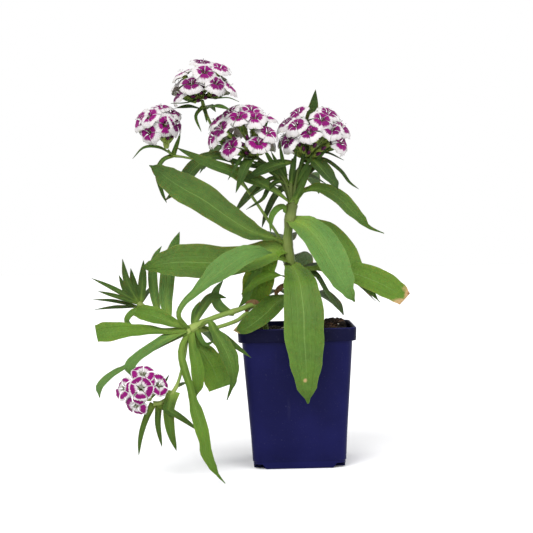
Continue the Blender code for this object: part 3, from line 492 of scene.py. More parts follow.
def leafSkin(start):
    place = start.place()
    across, along, upper = start.attribute("plan").parts()
    tone, warmth, dryness = start.attribute("mood").parts()
    patches = place.grain(34.0, 3.0)
    blotches = place.grain(120.0, 3.0)
    cells = place.grain(1500.0, 2.0)
    offset = across.size()
    warmer = (warmth + patches * 0.5 - 0.25).ramp(0.0, 1.0)
    colour = start.paint(leafPaint["cool"]).blend(leafPaint["warm"], warmer)
    quilt = start.vector(across * 3.0, along * 22.0, tone * 9.0).grain(1.6, 2.0)
    # the brightness mottling and the quilted pattern are partly the leaf's own uneven green and partly
    # painted light and shade on its dimpled surface
    bright = tone * 0.95 + patches * 0.60 + blotches * 0.30 + quilt * 0.30 - 0.28
    colour = colour.tint(bright)
    # long side veins run beside the midrib and meet near the tip
    bend = offset * (1.0 + along * along * 0.5)
    veins = bend.bell(0.36, 0.05) + bend.bell(0.66, 0.05)
    fineVeins = (bend * 70.0 + patches * 3.0).wave() * 0.5 + 0.5
    midrib = offset.ramp(0.060, 0.015) * along.ramp(1.0, 0.55)
    glow = offset.ramp(0.55, 0.0) * along.ramp(0.62, 0.10)
    colour = colour.blend(leafPaint["base"], along.ramp(0.26, 0.0) * 0.80 + glow * 0.46)
    colour = colour.blend(leafPaint["midrib"], midrib * 0.55 + veins * 0.10 + fineVeins * 0.05)
    # painted highlight: a pale line along the leaf margins
    colour = colour.blend(leafPaint["midrib"], offset.ramp(0.955, 1.0) * 0.35)
    colour = colour.blend(leafPaint["under"], (1.0 - upper) * 0.45)
    edgeBite = along + blotches * 0.22 + offset * 0.10 + dryness.ramp(1.0, 2.0)
    dry = edgeBite.ramp(1.06, 1.14) * dryness.ramp(0.0, 1.0)
    colour = colour.blend(leafPaint["dry"], dry)
    colour = colour.blend(leafPaint["burnt"], edgeBite.ramp(1.15, 1.22) * dryness.ramp(0.0, 1.0) * 0.6)
    centre = start.vector(*[v * mm for v in leafPaint["tanSpotPlace"]])
    away = place.node("VectorMath", dict(operation="DISTANCE"), {0: place, 1: centre}, 1)
    radius = leafPaint["tanSpotRadius"] * mm
    spot = (away + blotches * 0.0030).ramp(radius + 0.0018, radius)
    colour = colour.blend(leafPaint["dry"], spot)
    rough = 0.42 + patches * 0.14 + cells * 0.08 + (1.0 - upper) * 0.10
    relief = fineVeins * 0.25 - veins * 0.55 - midrib * 0.6 + blotches * 0.9 + quilt * 2.2 + cells * 0.12
    return {"Base Color": colour, "Roughness": rough, "Bump": (relief, 0.0005)}


leafFinish = {
    "Specular IOR Level": 0.16, "Subsurface Weight": 0.08, "Subsurface Scale": 0.002,
}
leafMaterial = newMaterial("leaf green", leafSkin, leafFinish)


# Share of the full width along a leaf, from 0 at its stem to 1 at its tip
def outline(kind, t):
    if not isinstance(kind, str):
        reach = t * (len(kind) - 1)
        k = min(int(reach), len(kind) - 2)
        ease = (1 - math.cos(math.pi * (reach - k))) / 2
        return kind[k] + (kind[k + 1] - kind[k]) * ease
    if kind == "lance":
        return 0.16 * (1 - t) ** 2 + math.sin(math.pi * t ** 0.85) ** 0.85 * 0.97
    if kind == "broad":
        return 0.14 * (1 - t) ** 2 + math.sin(math.pi * t ** 1.36) ** 0.6 * 0.98
    return 0.55 * (1 - t) ** 3 + 0.8 * (1 - t ** 4) ** 0.8 + 0.2 * math.sin(math.pi * t)


# One blade: a closed skin with a folded middle, rippled edges and a rib underneath
def addLeaf(shape, route, width, kind, faceBase, faceTip, look="mid"):
    broad = width >= leafForm["broadWidth"]
    mesh = "broadMesh" if broad else "narrowMesh" if width > leafForm["narrowWidth"] else "thinMesh"
    steps, cells = leafForm[mesh]
    path = smoothRoute(route, steps)
    ways = headings(path)
    seed = Vector(route[-1]) * 0.13
    tone, warmth, dryness = leafLooks[look]
    tone += 0.10 * noise.noise(seed * 3.1)
    rings = []
    for i, point in enumerate(path):
        t = i / steps
        facing = Vector(faceBase).lerp(Vector(faceTip), t)
        up = (facing - ways[i] * facing.dot(ways[i])).normalized()
        side = ways[i].cross(up)
        half = width * 0.5 * outline(kind, min(t, 0.9995))
        ragged = leafForm["ragged"] if broad else 0.02
        floor = 0.75 * (1 - t) + 0.12
        upperRow, lowerRow = [], []
        for k in range(cells + 1):
            u = 2 * k / cells - 1
            bite = 1 + ragged * noise.noise(seed + Vector((t * 9, math.copysign(5, u), 0))) * 1.6
            reach = max(half * bite, floor)
            slim = 1 - abs(u) ** 2.2
            wave = noise.noise(seed + Vector((t * 4.2, 20 + 9 * (u > 0), 0)))
            ripple = wave * leafForm["ripple"] * width * 1.8
            fold = (leafForm["foldLift"] if broad else 0.10) * reach * abs(u) ** 1.15
            middle = point + side * (reach * u) + up * (fold + ripple * abs(u) ** 2.5 * (1 if broad else 0.5))
            thick = (leafForm["thinEdge"] + (leafForm["thick"] - leafForm["thinEdge"]) * slim) / 2
            groove = math.exp(-(u / 0.09) ** 2) * (1 - t) ** 0.7 * min(reach / 8, 1)
            upperRow.append((middle + up * (thick - leafForm["grooveDepth"] * groove), u))
            lowerRow.append((middle - up * (thick + leafForm["ribDepth"] * groove), u))
        mood = (tone, warmth, dryness)
        ring = [addPoint(shape, p, (u, t, 1.0), mood) for p, u in upperRow]
        ring += [addPoint(shape, p, (u, t, 0.0), mood) for p, u in reversed(lowerRow[1:-1])]
        rings.append(ring)
    skinRings(shape, rings)


# Stems: a round skin that swells where leaves join
stemForm = dict(sides=14, stepsPerSpan=9, swell=0.34, swellReach=4.2)

stemPaint = dict(
    green=(0.105, 0.160, 0.030), stripe=(0.165, 0.225, 0.055), joint=(0.21, 0.25, 0.07),
    blush=(0.085, 0.050, 0.028),
)


def stemSkin(start):
    place = start.place()
    turn, joint, high = start.attribute("plan").parts()
    tone = start.attribute("mood").parts()[0]
    cloudy = place.grain(70.0, 3.0)
    lines = (turn * 62.8 + cloudy * 2.0).wave() * 0.5 + 0.5
    fine = start.vector(turn * 30.0, high * 4.0, 0.0).grain(3.0, 3.0)
    striped = lines * 0.30 + fine.ramp(0.5, 0.8) * 0.30
    colour = start.paint(stemPaint["green"]).blend(stemPaint["stripe"], striped)
    colour = colour.blend(stemPaint["joint"], joint * 0.55)
    colour = colour.blend(stemPaint["blush"], cloudy.ramp(0.58, 0.78) * 0.30)
    # the upper main stem is dark green
    upperMain = place.parts()[2].ramp(0.222, 0.242) * tone.ramp(0.70, 0.55)
    colour = colour.tint((0.70 + tone * 0.45) * (1.0 - upperMain * 0.45))
    relief = lines * 0.5 + fine * 0.6 + cloudy * 0.4
    return {"Base Color": colour, "Roughness": 0.42 + cloudy * 0.2, "Bump": (relief, 0.0003)}


stemMaterial = newMaterial("stem green", stemSkin, {"Specular IOR Level": 0.15})


def addStem(shape, route, radii, joints=(), tone=0.6):
    sides = stemForm["sides"]
    steps = stemForm["stepsPerSpan"] * (len(route) - 1)
    path = smoothRoute(route, steps)
    ways = headings(path)
    across = crossAxes(ways[0], stalkHint)[0]
    rings = []
    length = 0.0
    for i, point in enumerate(path):
        across = (across - ways[i] * across.dot(ways[i])).normalized()
        other = ways[i].cross(across)
        reach = i / steps * (len(radii) - 1)
        k = min(int(reach), len(radii) - 2)
        radius = radii[k] + (radii[k + 1] - radii[k]) * (reach - k)
        swells = [math.exp(-((point - j).length / stemForm["swellReach"]) ** 2) for j in joints]
        near = max(swells, default=0.0)
        radius *= 1 + stemForm["swell"] * near
        length += (point - path[max(i - 1, 0)]).length
        ring = []
        for j in range(sides):
            turn = 2 * math.pi * j / sides
            flute = 1 + 0.03 * math.cos(turn * 5)
            spot = point + around(across, other, turn) * (radius * flute)
            ring.append(addPoint(shape, spot, (j / sides, near, length / 10), (tone, 0, 0)))
        rings.append(ring)
    skinRings(shape, rings)


def makeShoot(title, node, leaves, stems, tone=0.6):
    blades = startMesh()
    for row in leaves:
        addLeaf(blades, *row)
    endMesh(blades, title + "Leaves", leafMaterial, node)
    joints = [Vector(row[0][0]) for row in leaves if row[1] > 4]
    stalks = startMesh()
    for route, radii in stems:
        addStem(stalks, route, radii, joints, tone)
    endMesh(stalks, title + "Stems", stemMaterial, node)


# Each leaf: route in mm from its stem to its tip, full width, outline, the way its upper face looks
# at the base and at the tip, and its look. An outline is a name, or the share of the full width at
# each point of the route.
mainLeafRoutes = [
    # the big leaf that hangs over the front of the pot
    ([(-5, -2, 186), (-2, -16, 183), (2, -34, 176), (4, -50, 166), (6, -60, 144), (6, -64, 122),
      (7, -66, 100), (7, -67, 80), (8, -67, 63)],
     36, (0.31, 0.45, 0.69, 0.86, 1, 0.98, 0.83, 0.54, 0.05), (0, -0.3, 1), (0, -1, 0.1), "fresh"),
    # its partner at the back
    ([(-5, 2, 186), (0, 32, 194), (6, 66, 182), (12, 96, 152)],
     30, "broad", (0, 0.3, 1), (0, 0.9, 0.4)),
    # upper left broad leaf
    ([(-6, -2, 205), (-17, -9, 210), (-30, -16, 214), (-44, -23, 220), (-62, -28, 232), (-82, -33, 247),
      (-99, -36, 257), (-114, -37, 267), (-123, -38, 275), (-131, -38, 280)],
     30, (0.17, 0.13, 0.39, 0.7, 0.86, 1, 0.96, 0.75, 0.43, 0.04),
     (-0.1, -0.8, 0.5), (0.2, -0.95, 0.3)),
    # middle left broad leaf
    ([(-5, -2, 191), (-20, -12, 198), (-40, -21, 192), (-62, -26, 189), (-85, -29, 190),
      (-104, -31, 191), (-120, -32, 190), (-132, -33, 188), (-141, -33, 187)],
     35, (0.44, 0.71, 0.79, 0.89, 1, 0.92, 0.64, 0.31, 0.04),
     (0, -0.75, 0.6), (0.1, -0.95, 0.25), "fresh"),
    # right front leaf and the one behind it
    ([(-3, -2, 227), (9, -13, 222), (19, -22, 212), (27, -28, 200), (34, -32, 186), (42, -35, 171),
      (48, -37, 159), (53, -38, 151)],
     36, (0.39, 0.84, 1, 0.99, 0.93, 0.71, 0.32, 0.03), (0.2, -0.6, 0.8), (0.3, -0.9, 0.3), "cool"),
    ([(-1, 2, 229), (16, 7, 222), (34, 9, 213), (47, 9, 198), (57, 6, 177), (68, 3, 163), (80, 0, 148)],
     28, (0.32, 0.75, 1, 0.96, 0.79, 0.43, 0.04), (0.2, -0.6, 0.8), (0.6, -0.8, 0.3), "light"),
    # lower right leaf with the blunt end
    ([(0, 0, 178), (18, 5, 181), (37, 6, 181), (56, 3, 176), (71, -2, 170), (84, -6, 164),
      (95, -10, 157), (102, -12, 151)],
     27, (0.19, 0.28, 0.72, 0.95, 1, 0.97, 0.79, 0.58), (0, -0.7, 0.7), (0.1, -0.9, 0.45), "scorched"),
    # short leaf behind it and the one that reaches the back rim
    ([(-2, 1, 178), (28, 22, 182), (56, 26, 168), (78, 24, 148)],
     18, "lance", (0.2, 0.1, 1), (0.5, -0.3, 0.8), "dark"),
    ([(0, 1, 172), (17, 8, 176), (30, 14, 158), (46, 20, 136)],
     14, "lance", (0.4, -0.3, 0.9), (0.8, -0.4, 0.3), "fresh"),
    # back leaf at the second node
    ([(-5, 0, 208), (-10, 32, 214), (-18, 64, 206), (-25, 94, 182)],
     28, "lance", (0, 0.3, 1), (-0.2, 0.8, 0.5)),
    # third node: right arching leaf, left long leaf, back leaf
    ([(-1, -1, 241), (8, -3, 252), (14, -5, 255), (24, -6, 256), (35, -7, 252), (45, -8, 245),
      (53, -8, 236), (62, -9, 227), (70, -10, 219), (84, -11, 213)],
     18, (0.38, 0.48, 0.51, 0.84, 1, 0.99, 0.93, 0.62, 0.21, 0.06),
     (-0.2, -0.5, 0.8), (0.3, -0.8, 0.6), "fresh"),
    ([(-1, -1, 242), (-23, -14, 258), (-49, -20, 270), (-78, -28, 281), (-106, -30, 296)],
     17, "lance", (0.2, -0.5, 0.8), (0.2, -0.8, 0.5)),
    ([(1, 3, 256), (10, 28, 270), (20, 56, 270), (28, 84, 254)],
     20, "lance", (0, 0.2, 1), (0.2, 0.7, 0.6)),
    ([(-1, 1, 250), (-18, 26, 262), (-38, 46, 256), (-58, 60, 236)],
     16, "lance", (0, 0.2, 1), (-0.3, 0.7, 0.6)),
    # strap beside the stem and the dark leaves on its right
    ([(0, -3, 243), (8, -8, 259), (19, -12, 281)],
     6, "strap", (0.3, -0.9, 0.1), (0.3, -0.9, 0.1)),
    ([(2, 2, 262), (15, 12, 270), (32, 18, 262)],
     10, "lance", (0, -0.4, 0.9), (0.3, -0.5, 0.8), "dark"),
    # dark leaf under the third head
    ([(1, -3, 282), (-14, -14, 279), (-31, -22, 272), (-47, -26, 264)],
     12, "lance", (-0.2, -0.8, 0.5), (-0.2, -0.8, 0.5), "dark"),
    ([(-4, 0, 270), (-24, -8, 276), (-44, -13, 280), (-62, -18, 285), (-74, -22, 285), (-82, -24, 276)],
     9, "lance", (0, -0.5, 0.9), (-0.5, -0.6, 0.5), "dark"),
    # small leaves of the shoots in the angle of the stem
    ([(-4, 0, 264), (-19, -6, 267), (-31, -13, 259), (-43, -18, 248)],
     4.5, "strap", (0, -0.8, 0.6), (0, -0.9, 0.4), "dark"),
    ([(-3, -2, 262), (-14, -8, 264), (-23, -14, 257), (-29, -18, 247), (-44, -22, 238)],
     5, "strap", (0, -0.8, 0.6), (-0.4, -0.8, 0.3), "dark"),
    ([(-2, 2, 262), (-15, 10, 253), (-25, 12, 235), (-30, 12, 221)],
     8, "lance", (-0.5, -0.8, 0.3), (-0.6, -0.8, 0.1), "dark"),
    ([(-3, 0, 232), (-11, -5, 240), (-20, -10, 232), (-22, -11, 216)],
     8, "lance", (-0.3, -0.7, 0.7), (-0.5, -0.9, 0.1), "pale"),
    # bright leaf, the pale one above it and the drooping one over the rim
    ([(-4, -2, 172), (-18, -20, 177), (-35, -28, 171), (-50, -34, 160)],
     15, "lance", (-0.1, -0.4, 0.9), (-0.4, -0.8, 0.5), "lime"),
    ([(-6, -2, 195), (-20, -4, 198), (-31, -8, 189), (-37, -10, 176)],
     10, "lance", (-0.2, -0.5, 0.8), (-0.6, -0.7, 0.3), "pale"),
    ([(2, -2, 156), (-15, -28, 154), (-29, -46, 142), (-46, -62, 131), (-57, -71, 130)],
     25, "lance", (-0.2, -0.5, 0.9), (-0.2, -0.9, 0.5), "deadEdge"),
    # the pale broad leaf that hangs behind the arching bluish one
    ([(-7, -3, 200), (-18, -9, 199), (-28, -13, 188), (-34, -16, 172), (-37, -17, 158), (-38, -18, 146)],
     29, (0.35, 0.55, 0.85, 1, 0.9, 0.35), (-0.1, -0.8, 0.5), (0, -1, 0.1), "lime"),
    # withered bits in the angle above the trailing shoot
    ([(-4, -4, 166), (-12, -12, 166), (-18, -16, 160), (-15, -18, 154)],
     5, "lance", (-0.3, -0.9, 0.3), (0.4, -0.9, -0.3), "withered"),
    ([(-31, -30, 142), (-36, -34, 152), (-43, -36, 152), (-46, -36, 146), (-41, -38, 142)],
     5, "lance", (-0.5, -0.8, 0.2), (0.3, -0.9, 0.2), "withered"),
    ([(-24, -8, 200), (-40, -20, 172), (-46, -24, 156), (-53, -26, 148)],
     9, "lance", (-0.2, -0.9, 0.3), (-0.4, -0.8, 0.3), "pale"),
    # narrow leaves that stand up from the fork under the third and fourth heads
    ([(-4, -2, 262), (-12, -10, 276), (-20, -16, 292)],
     5, "lance", (-0.3, -0.9, 0.2), (-0.3, -0.9, 0.2), "dark"),
    ([(-2, -3, 258), (0, -9, 274), (4, -14, 292)], 6, "lance", (0.1, -1, 0.1), (0.1, -1, 0.1), "dark"),
    ([(0, -3, 256), (10, -10, 272), (19, -16, 289)], 5, "lance", (0.3, -0.9, 0.2), (0.3, -0.9, 0.2)),
    ([(-6, -2, 264), (-18, -11, 280), (-28, -18, 297)], 5, "lance", (-0.3, -0.9, 0.2), (-0.3, -0.9, 0.2)),
    ([(3, 0, 260), (16, -6, 273), (31, -10, 281)], 6, "lance", (0.2, -0.8, 0.5), (0.2, -0.8, 0.5), "dark"),
    ([(-5, -2, 262), (-9, -10, 282), (-12, -14, 302)], 4, "lance", (0, -1, 0.1), (0, -1, 0.1)),
    ([(3, -2, 262), (9, -11, 282), (13, -15, 300)], 4, "lance", (0, -1, 0.1), (0, -1, 0.1), "dark"),
    ([(-8, -2, 264), (-24, -12, 276), (-40, -20, 284)],
     5, "lance", (-0.2, -0.9, 0.3), (-0.2, -0.9, 0.3), "dark"),
    ([(4, 0, 264), (20, -10, 280), (34, -16, 294)], 4, "lance", (0.2, -0.9, 0.3), (0.2, -0.9, 0.3)),
    # low leaves at the back
    ([(4, 3, 150), (20, 30, 158), (38, 54, 146), (50, 72, 132)],
     20, "lance", (0.1, 0.2, 1), (0.4, 0.5, 0.7)),
    ([(2, 4, 152), (-14, 30, 160), (-34, 56, 150), (-50, 76, 134)],
     20, "lance", (-0.1, 0.2, 1), (-0.4, 0.5, 0.7)),
]

mainStemRoutes = [
    ([(4, 2, 108), (4, 2, 124), (3, 1, 140), (2, 0, 152), (-4, -2, 186), (-6, -2, 210), (-1, 0, 242)],
     [4.0, 4.0, 3.9, 3.8, 4.2, 4.0, 4.3]),
    ([(-1, 0, 240), (1, 0, 258), (3, 1, 270), (11, 0, 280)], [3.6, 2.4, 2.2, 2.2]),
    ([(-1, 0, 240), (-4, 1, 258), (-12, 0, 270), (-33, -2, 283)], [3.4, 2.2, 2.0, 2.0]),
    ([(-1, -1, 240), (-2, -3, 262), (-1, -4, 276), (1, -4, 285)], [2.6, 1.6, 1.4, 1.2]),
    ([(0, 1, 240), (5, 3, 262), (9, 3, 274), (12, 1, 280)], [2.6, 1.5, 1.4, 1.4]),
    # thin stalks in the fork
    ([(-2, -2, 243), (-7, -5, 262), (-17, -6, 276), (-33, -4, 286)], [1.8, 1.2, 1.1, 1.2]),
    ([(-3, -1, 246), (-11, -4, 264), (-22, -8, 278), (-34, -5, 288)], [1.6, 1.1, 1.0, 1.1]),
    ([(0, -3, 246), (3, -7, 264), (6, -7, 276), (12, -2, 284)], [1.6, 1.1, 1.0, 1.1]),
    ([(1, -1, 246), (7, -3, 262), (13, -5, 274), (13, -2, 285)], [1.6, 1.1, 1.0, 1.1]),
]

makeShoot("main", "main_stem", mainLeafRoutes, mainStemRoutes, 0.45)

sideLeafRoutes = [
    # leaf behind the upper left broad leaf
    ([(-59, 5, 288), (-71, -3, 289), (-85, 0, 284), (-97, 3, 273), (-109, 5, 259), (-121, 5, 249)],
     17, (0.46, 0.61, 0.96, 1, 0.56, 0.07), (0, -0.7, 0.7), (-0.5, -0.8, 0.3), "dark"),
    ([(-62, 7, 294), (-68, 24, 301), (-78, 40, 292), (-90, 54, 276)],
     11, "lance", (0, 0.2, 1), (-0.3, 0.7, 0.6)),
    # under the first head
    ([(-81, 5, 333), (-94, -8, 335.5), (-108, -12, 334)],
     7, "lance", (0, -0.6, 0.8), (0, -0.7, 0.7)),
    ([(-81, 5, 333), (-74, -14, 335), (-66, -28, 333), (-56, -36, 329)],
     8, "lance", (0.1, -0.7, 0.7), (0.2, -0.8, 0.5)),
    ([(-82, 1, 337), (-89, -12, 326), (-84, -16, 311)],
     3, "strap", (0, -1, 0), (0, -1, 0)),
    ([(-82, 1, 336), (-80, -8, 328), (-79, -11, 320)],
     3, "strap", (0.3, -1, 0), (0.3, -1, 0)),
    ([(-82, 3, 335), (-77, 20, 339), (-72, 34, 334)],
     7, "lance", (0, 0.3, 1), (0, 0.5, 0.8)),
    # under the second head
    ([(-112, 0, 291), (-124, -10, 298), (-138, -12, 298), (-149, -10, 288)],
     3.5, "strap", (-0.2, -0.7, 0.7), (-0.5, -0.8, 0.3)),
    ([(-112, 0, 291), (-108, -6, 300), (-104, -8, 310)],
     4, "strap", (0.3, -0.9, 0.2), (0.3, -0.9, 0.2)),
    ([(-111, 1, 291), (-121, -8, 286), (-126, -12, 274), (-122, -12, 256), (-118, -12, 246)],
     5, "strap", (-0.5, -0.8, 0.2), (-0.3, -0.9, 0.1)),
]

sideStemRoutes = [
    ([(-8.8, 1.7, 201), (-14, 4, 212), (-29, 0, 236), (-47, -2, 264), (-60, 6, 290), (-73, 16, 314),
      (-81, 7, 332), (-83, -3, 341)], [1.5, 1.5, 1.4, 1.4, 1.3, 1.3, 1.5, 1.6]),
    ([(-44, -2, 259), (-57, 3, 270), (-82, 5, 284), (-101, 3, 289), (-112, 1, 291), (-117, 0, 296)],
     [1.2, 1.1, 1.1, 1.1, 1.2, 1.4]),
]

makeShoot("side", "side_stem", sideLeafRoutes, sideStemRoutes, 1.1)

trailingLeafRoutes = [
    # two broad leaves to the left with blunt ends
    ([(-98, -60, 131), (-118, -63, 130), (-132, -64, 131), (-145, -65, 131), (-158, -66, 131),
      (-170, -68, 130), (-179, -70, 129)],
     21, (0.33, 0.37, 0.55, 0.66, 0.89, 1, 0.82), (0, -0.6, 0.8), (0.1, -0.8, 0.5), "light"),
    ([(-98, -58, 132), (-115, -59, 138), (-127, -58, 143), (-137, -57, 146), (-145, -56, 148)],
     18, (0.28, 0.77, 1, 0.9, 0.61), (0, -0.6, 0.8), (-0.1, -0.8, 0.5), "light"),
    # leaves that hang to the lower left
    ([(-98, -60, 131), (-116, -68, 124), (-130, -74, 116), (-141, -77, 109), (-148, -79, 101),
      (-147, -80, 92)],
     14, (0.53, 0.9, 0.8, 0.82, 1, 0.27), (-0.3, -0.6, 0.7), (-0.6, -0.7, 0.3), "cool"),
    ([(-98, -61, 129), (-130, -68, 114), (-152, -75, 101), (-162, -77, 96), (-170, -79, 90),
      (-176, -80, 83), (-176, -80, 74)],
     11, (0.73, 0.57, 0.55, 0.79, 1, 0.97, 0.14), (-0.3, -0.5, 0.8), (-0.7, -0.6, 0.3), "cool"),
    # bluish leaf that arches up and over to the right
    ([(-99, -60, 132), (-106, -63, 144), (-101, -63, 155), (-92, -61, 163), (-82, -60, 172),
      (-71, -58, 180), (-59, -56, 188), (-46, -54, 196), (-33, -52, 199), (-21, -50, 198)],
     25, (0.44, 0.34, 0.34, 0.4, 0.61, 0.94, 1, 0.82, 0.53, 0.05),
     (-0.8, -0.5, 0.2), (0.2, -0.8, 0.6), "cool"),
    # long leaf that hangs nearly to the ground
    ([(-97, -62, 130), (-104, -70, 114), (-101, -76, 98), (-96, -84, 83), (-93, -90, 71), (-90, -95, 61),
      (-86, -100, 48), (-83, -104, 36), (-82, -107, 28), (-77, -110, 17), (-72, -112, 9), (-66, -113, 2)],
     12, (0.43, 0.49, 0.62, 0.53, 0.64, 0.97, 1, 0.81, 0.88, 0.62, 0.22, 0.06),
     (-0.3, -0.8, 0.4), (0.2, -1, 0.1), "light"),
    # the hanging group to the right of the whorl
    ([(-94, -58, 130), (-90, -61, 119), (-83, -65, 108), (-77, -68, 98), (-73, -69, 88), (-70, -70, 79)],
     28, (0.22, 0.4, 0.72, 0.95, 1, 0.89), (0.4, -0.8, 0.5), (0.4, -0.9, 0.1), "light"),
    ([(-94, -61, 130), (-94, -71, 118), (-91, -77, 107), (-89, -80, 96), (-89, -82, 84), (-91, -83, 73)],
     12, (0.36, 0.57, 0.86, 1, 0.86, 0.07), (0, -0.9, 0.4), (-0.1, -1, 0), "light"),
    ([(-92, -58, 132), (-79, -66, 138), (-74, -72, 130), (-68, -76, 120), (-62, -79, 108),
      (-59, -80, 98), (-58, -80, 87), (-61, -79, 77), (-64, -79, 69)],
     18, (0.3, 0.32, 0.5, 0.89, 1, 0.76, 0.37, 0.16, 0.04), (0.3, -0.6, 0.8), (0.4, -0.9, 0), "fresh"),
    # small leaves round the whorl
    ([(-94, -58, 132), (-92, -54, 146), (-87, -52, 156)],
     6, "lance", (-0.5, -0.8, 0), (-0.4, -0.9, 0), "pale"),
    ([(-95, -60, 132), (-84, -55, 151), (-75, -52, 160), (-63, -50, 158)],
     10, "lance", (-0.4, -0.8, 0.4), (0, -0.8, 0.6)),
    ([(-57, -45, 142), (-70, -48, 151), (-73, -48, 163), (-66, -46, 174)],
     10, "lance", (-0.5, -0.8, 0.2), (-0.4, -0.9, 0), "cool"),
    ([(-86, -56, 134), (-69, -62, 126), (-55, -65, 115), (-42, -66, 105)],
     7, "lance", (0.4, -0.7, 0.6), (0.5, -0.8, 0.3)),
    ([(-90, -60, 132), (-87, -66, 124), (-82, -67, 118), (-74, -65, 121)],
     4, "strap", (0.3, -0.9, 0.3), (0, -1, 0), "pale"),
    ([(-96, -56, 130), (-84, -34, 128), (-76, -12, 112)], 18, "lance", (0.1, 0.2, 1), (0.2, 0.7, 0.6)),
    # leaves under the low head
    ([(-124, -80, 68), (-113, -85, 61), (-102, -87, 54), (-89, -89, 44)],
     6, "strap", (0.1, -0.8, 0.6), (0.2, -0.9, 0.4)),
    ([(-124, -80, 68), (-125, -84, 50), (-122, -84, 30)], 5, "strap", (0, -1, 0), (0, -1, 0)),
    ([(-111, -78, 78), (-115, -84, 64), (-114, -86, 45), (-109, -88, 27)],
     9, "strap", (0, -1, 0.2), (0.2, -1, 0), "fresh"),
    ([(-129, -80, 68), (-136, -80, 54), (-141, -80, 38), (-143, -80, 22)],
     5, "strap", (-0.2, -1, 0), (-0.2, -1, 0), "fresh"),
    ([(-109, -78, 81), (-100, -66, 84), (-94, -52, 78)], 8, "lance", (0.2, 0.2, 1), (0.3, 0.6, 0.7)),
]

trailingStemRoutes = [
    ([(-28, -24, 108), (-28, -24, 126), (-33, -29, 143), (-40, -34, 150), (-52, -43, 147), (-77, -54, 140),
      (-96, -60, 131)], [2.6, 2.6, 2.5, 2.4, 2.4, 2.4, 3.4]),
    ([(-28, -24, 127), (-34, -33, 139), (-45, -41, 143), (-55, -48, 137), (-76, -52, 131), (-96, -60, 130)],
     [2.0, 1.9, 1.8, 1.8, 1.8, 2.4]),
    ([(-96, -60, 132), (-99, -64, 122), (-102, -72, 103), (-109, -77, 81), (-121, -80, 69), (-129, -81, 68)],
     [2.2, 1.6, 1.4, 1.4, 1.6, 1.7]),
]

makeShoot("trailing", "trailing_stem", trailingLeafRoutes, trailingStemRoutes, 1.3)

tuftLeafRoutes = [
    ([(-144, -18, 152), (-166, -20, 166), (-189, -22, 178)], 6, "lance", (0, -0.7, 0.7), (0, -0.7, 0.7)),
    ([(-144, -18, 153), (-162, -12, 164), (-184, -8, 173)], 5, "lance", (0, -0.5, 0.9), (0, -0.5, 0.9)),
    ([(-144, -18, 152), (-164, -26, 160), (-182, -30, 166)], 6, "lance", (0, -0.7, 0.7), (0, -0.7, 0.7)),
    ([(-145, -18, 150), (-168, -22, 156), (-188, -20, 158)], 5, "lance", (0, -0.6, 0.8), (0, -0.6, 0.8)),
    ([(-145, -18, 150), (-168, -14, 150), (-188, -12, 148)], 5, "lance", (0, -0.6, 0.8), (0, -0.6, 0.8)),
    ([(-145, -18, 152), (-156, -18, 174), (-160, -18, 195)], 7, "lance", (-0.2, -1, 0), (-0.2, -1, 0)),
    ([(-145, -18, 152), (-158, -14, 166), (-165, -8, 180)],
     6, "lance", (-0.3, -0.9, 0.3), (-0.3, -0.9, 0.3)),
    ([(-145, -18, 152), (-150, -16, 170), (-153, -14, 186)], 7, "lance", (0, -1, 0.1), (0, -1, 0.1)),
    ([(-144, -18, 152), (-142, -16, 174), (-141, -12, 193)], 8, "lance", (0, -1, 0.1), (0, -1, 0.1)),
    ([(-144, -18, 152), (-150, -2, 166), (-158, 16, 174)], 6, "lance", (0, 0.3, 1), (0, 0.3, 1)),
    ([(-144, -18, 152), (-138, 0, 164), (-132, 18, 170)], 6, "lance", (0, 0.3, 1), (0, 0.3, 1)),
    # the two wavy leaves that stand up behind the middle left leaf
    ([(-126, -26, 141), (-131, -14, 158), (-133, -9, 180), (-130, -8, 196), (-124, -8, 206)],
     9, "lance", (-0.2, -0.9, 0.3), (0, -0.9, 0.4), "cool"),
    ([(-116, -34, 138), (-120, -20, 156), (-118, -9, 186), (-112, -8, 206), (-107, -8, 219)],
     14, "lance", (-0.2, -0.9, 0.3), (0.2, -0.9, 0.4), "cool"),
    # small hanging leaf
    ([(-138, -20, 147), (-150, -28, 146), (-156, -30, 138), (-148, -30, 130)],
     6, "strap", (0, -0.8, 0.6), (-0.3, -0.9, 0), "pale"),
]

tuftStemRoutes = [
    ([(-98.9, -50, 132.4), (-116, -34, 138), (-133, -23, 145), (-146, -18, 153)], [1.9, 1.8, 1.7, 2.2]),
]

makeShoot("tuft", "tuft_stem", tuftLeafRoutes, tuftStemRoutes, 0.5)

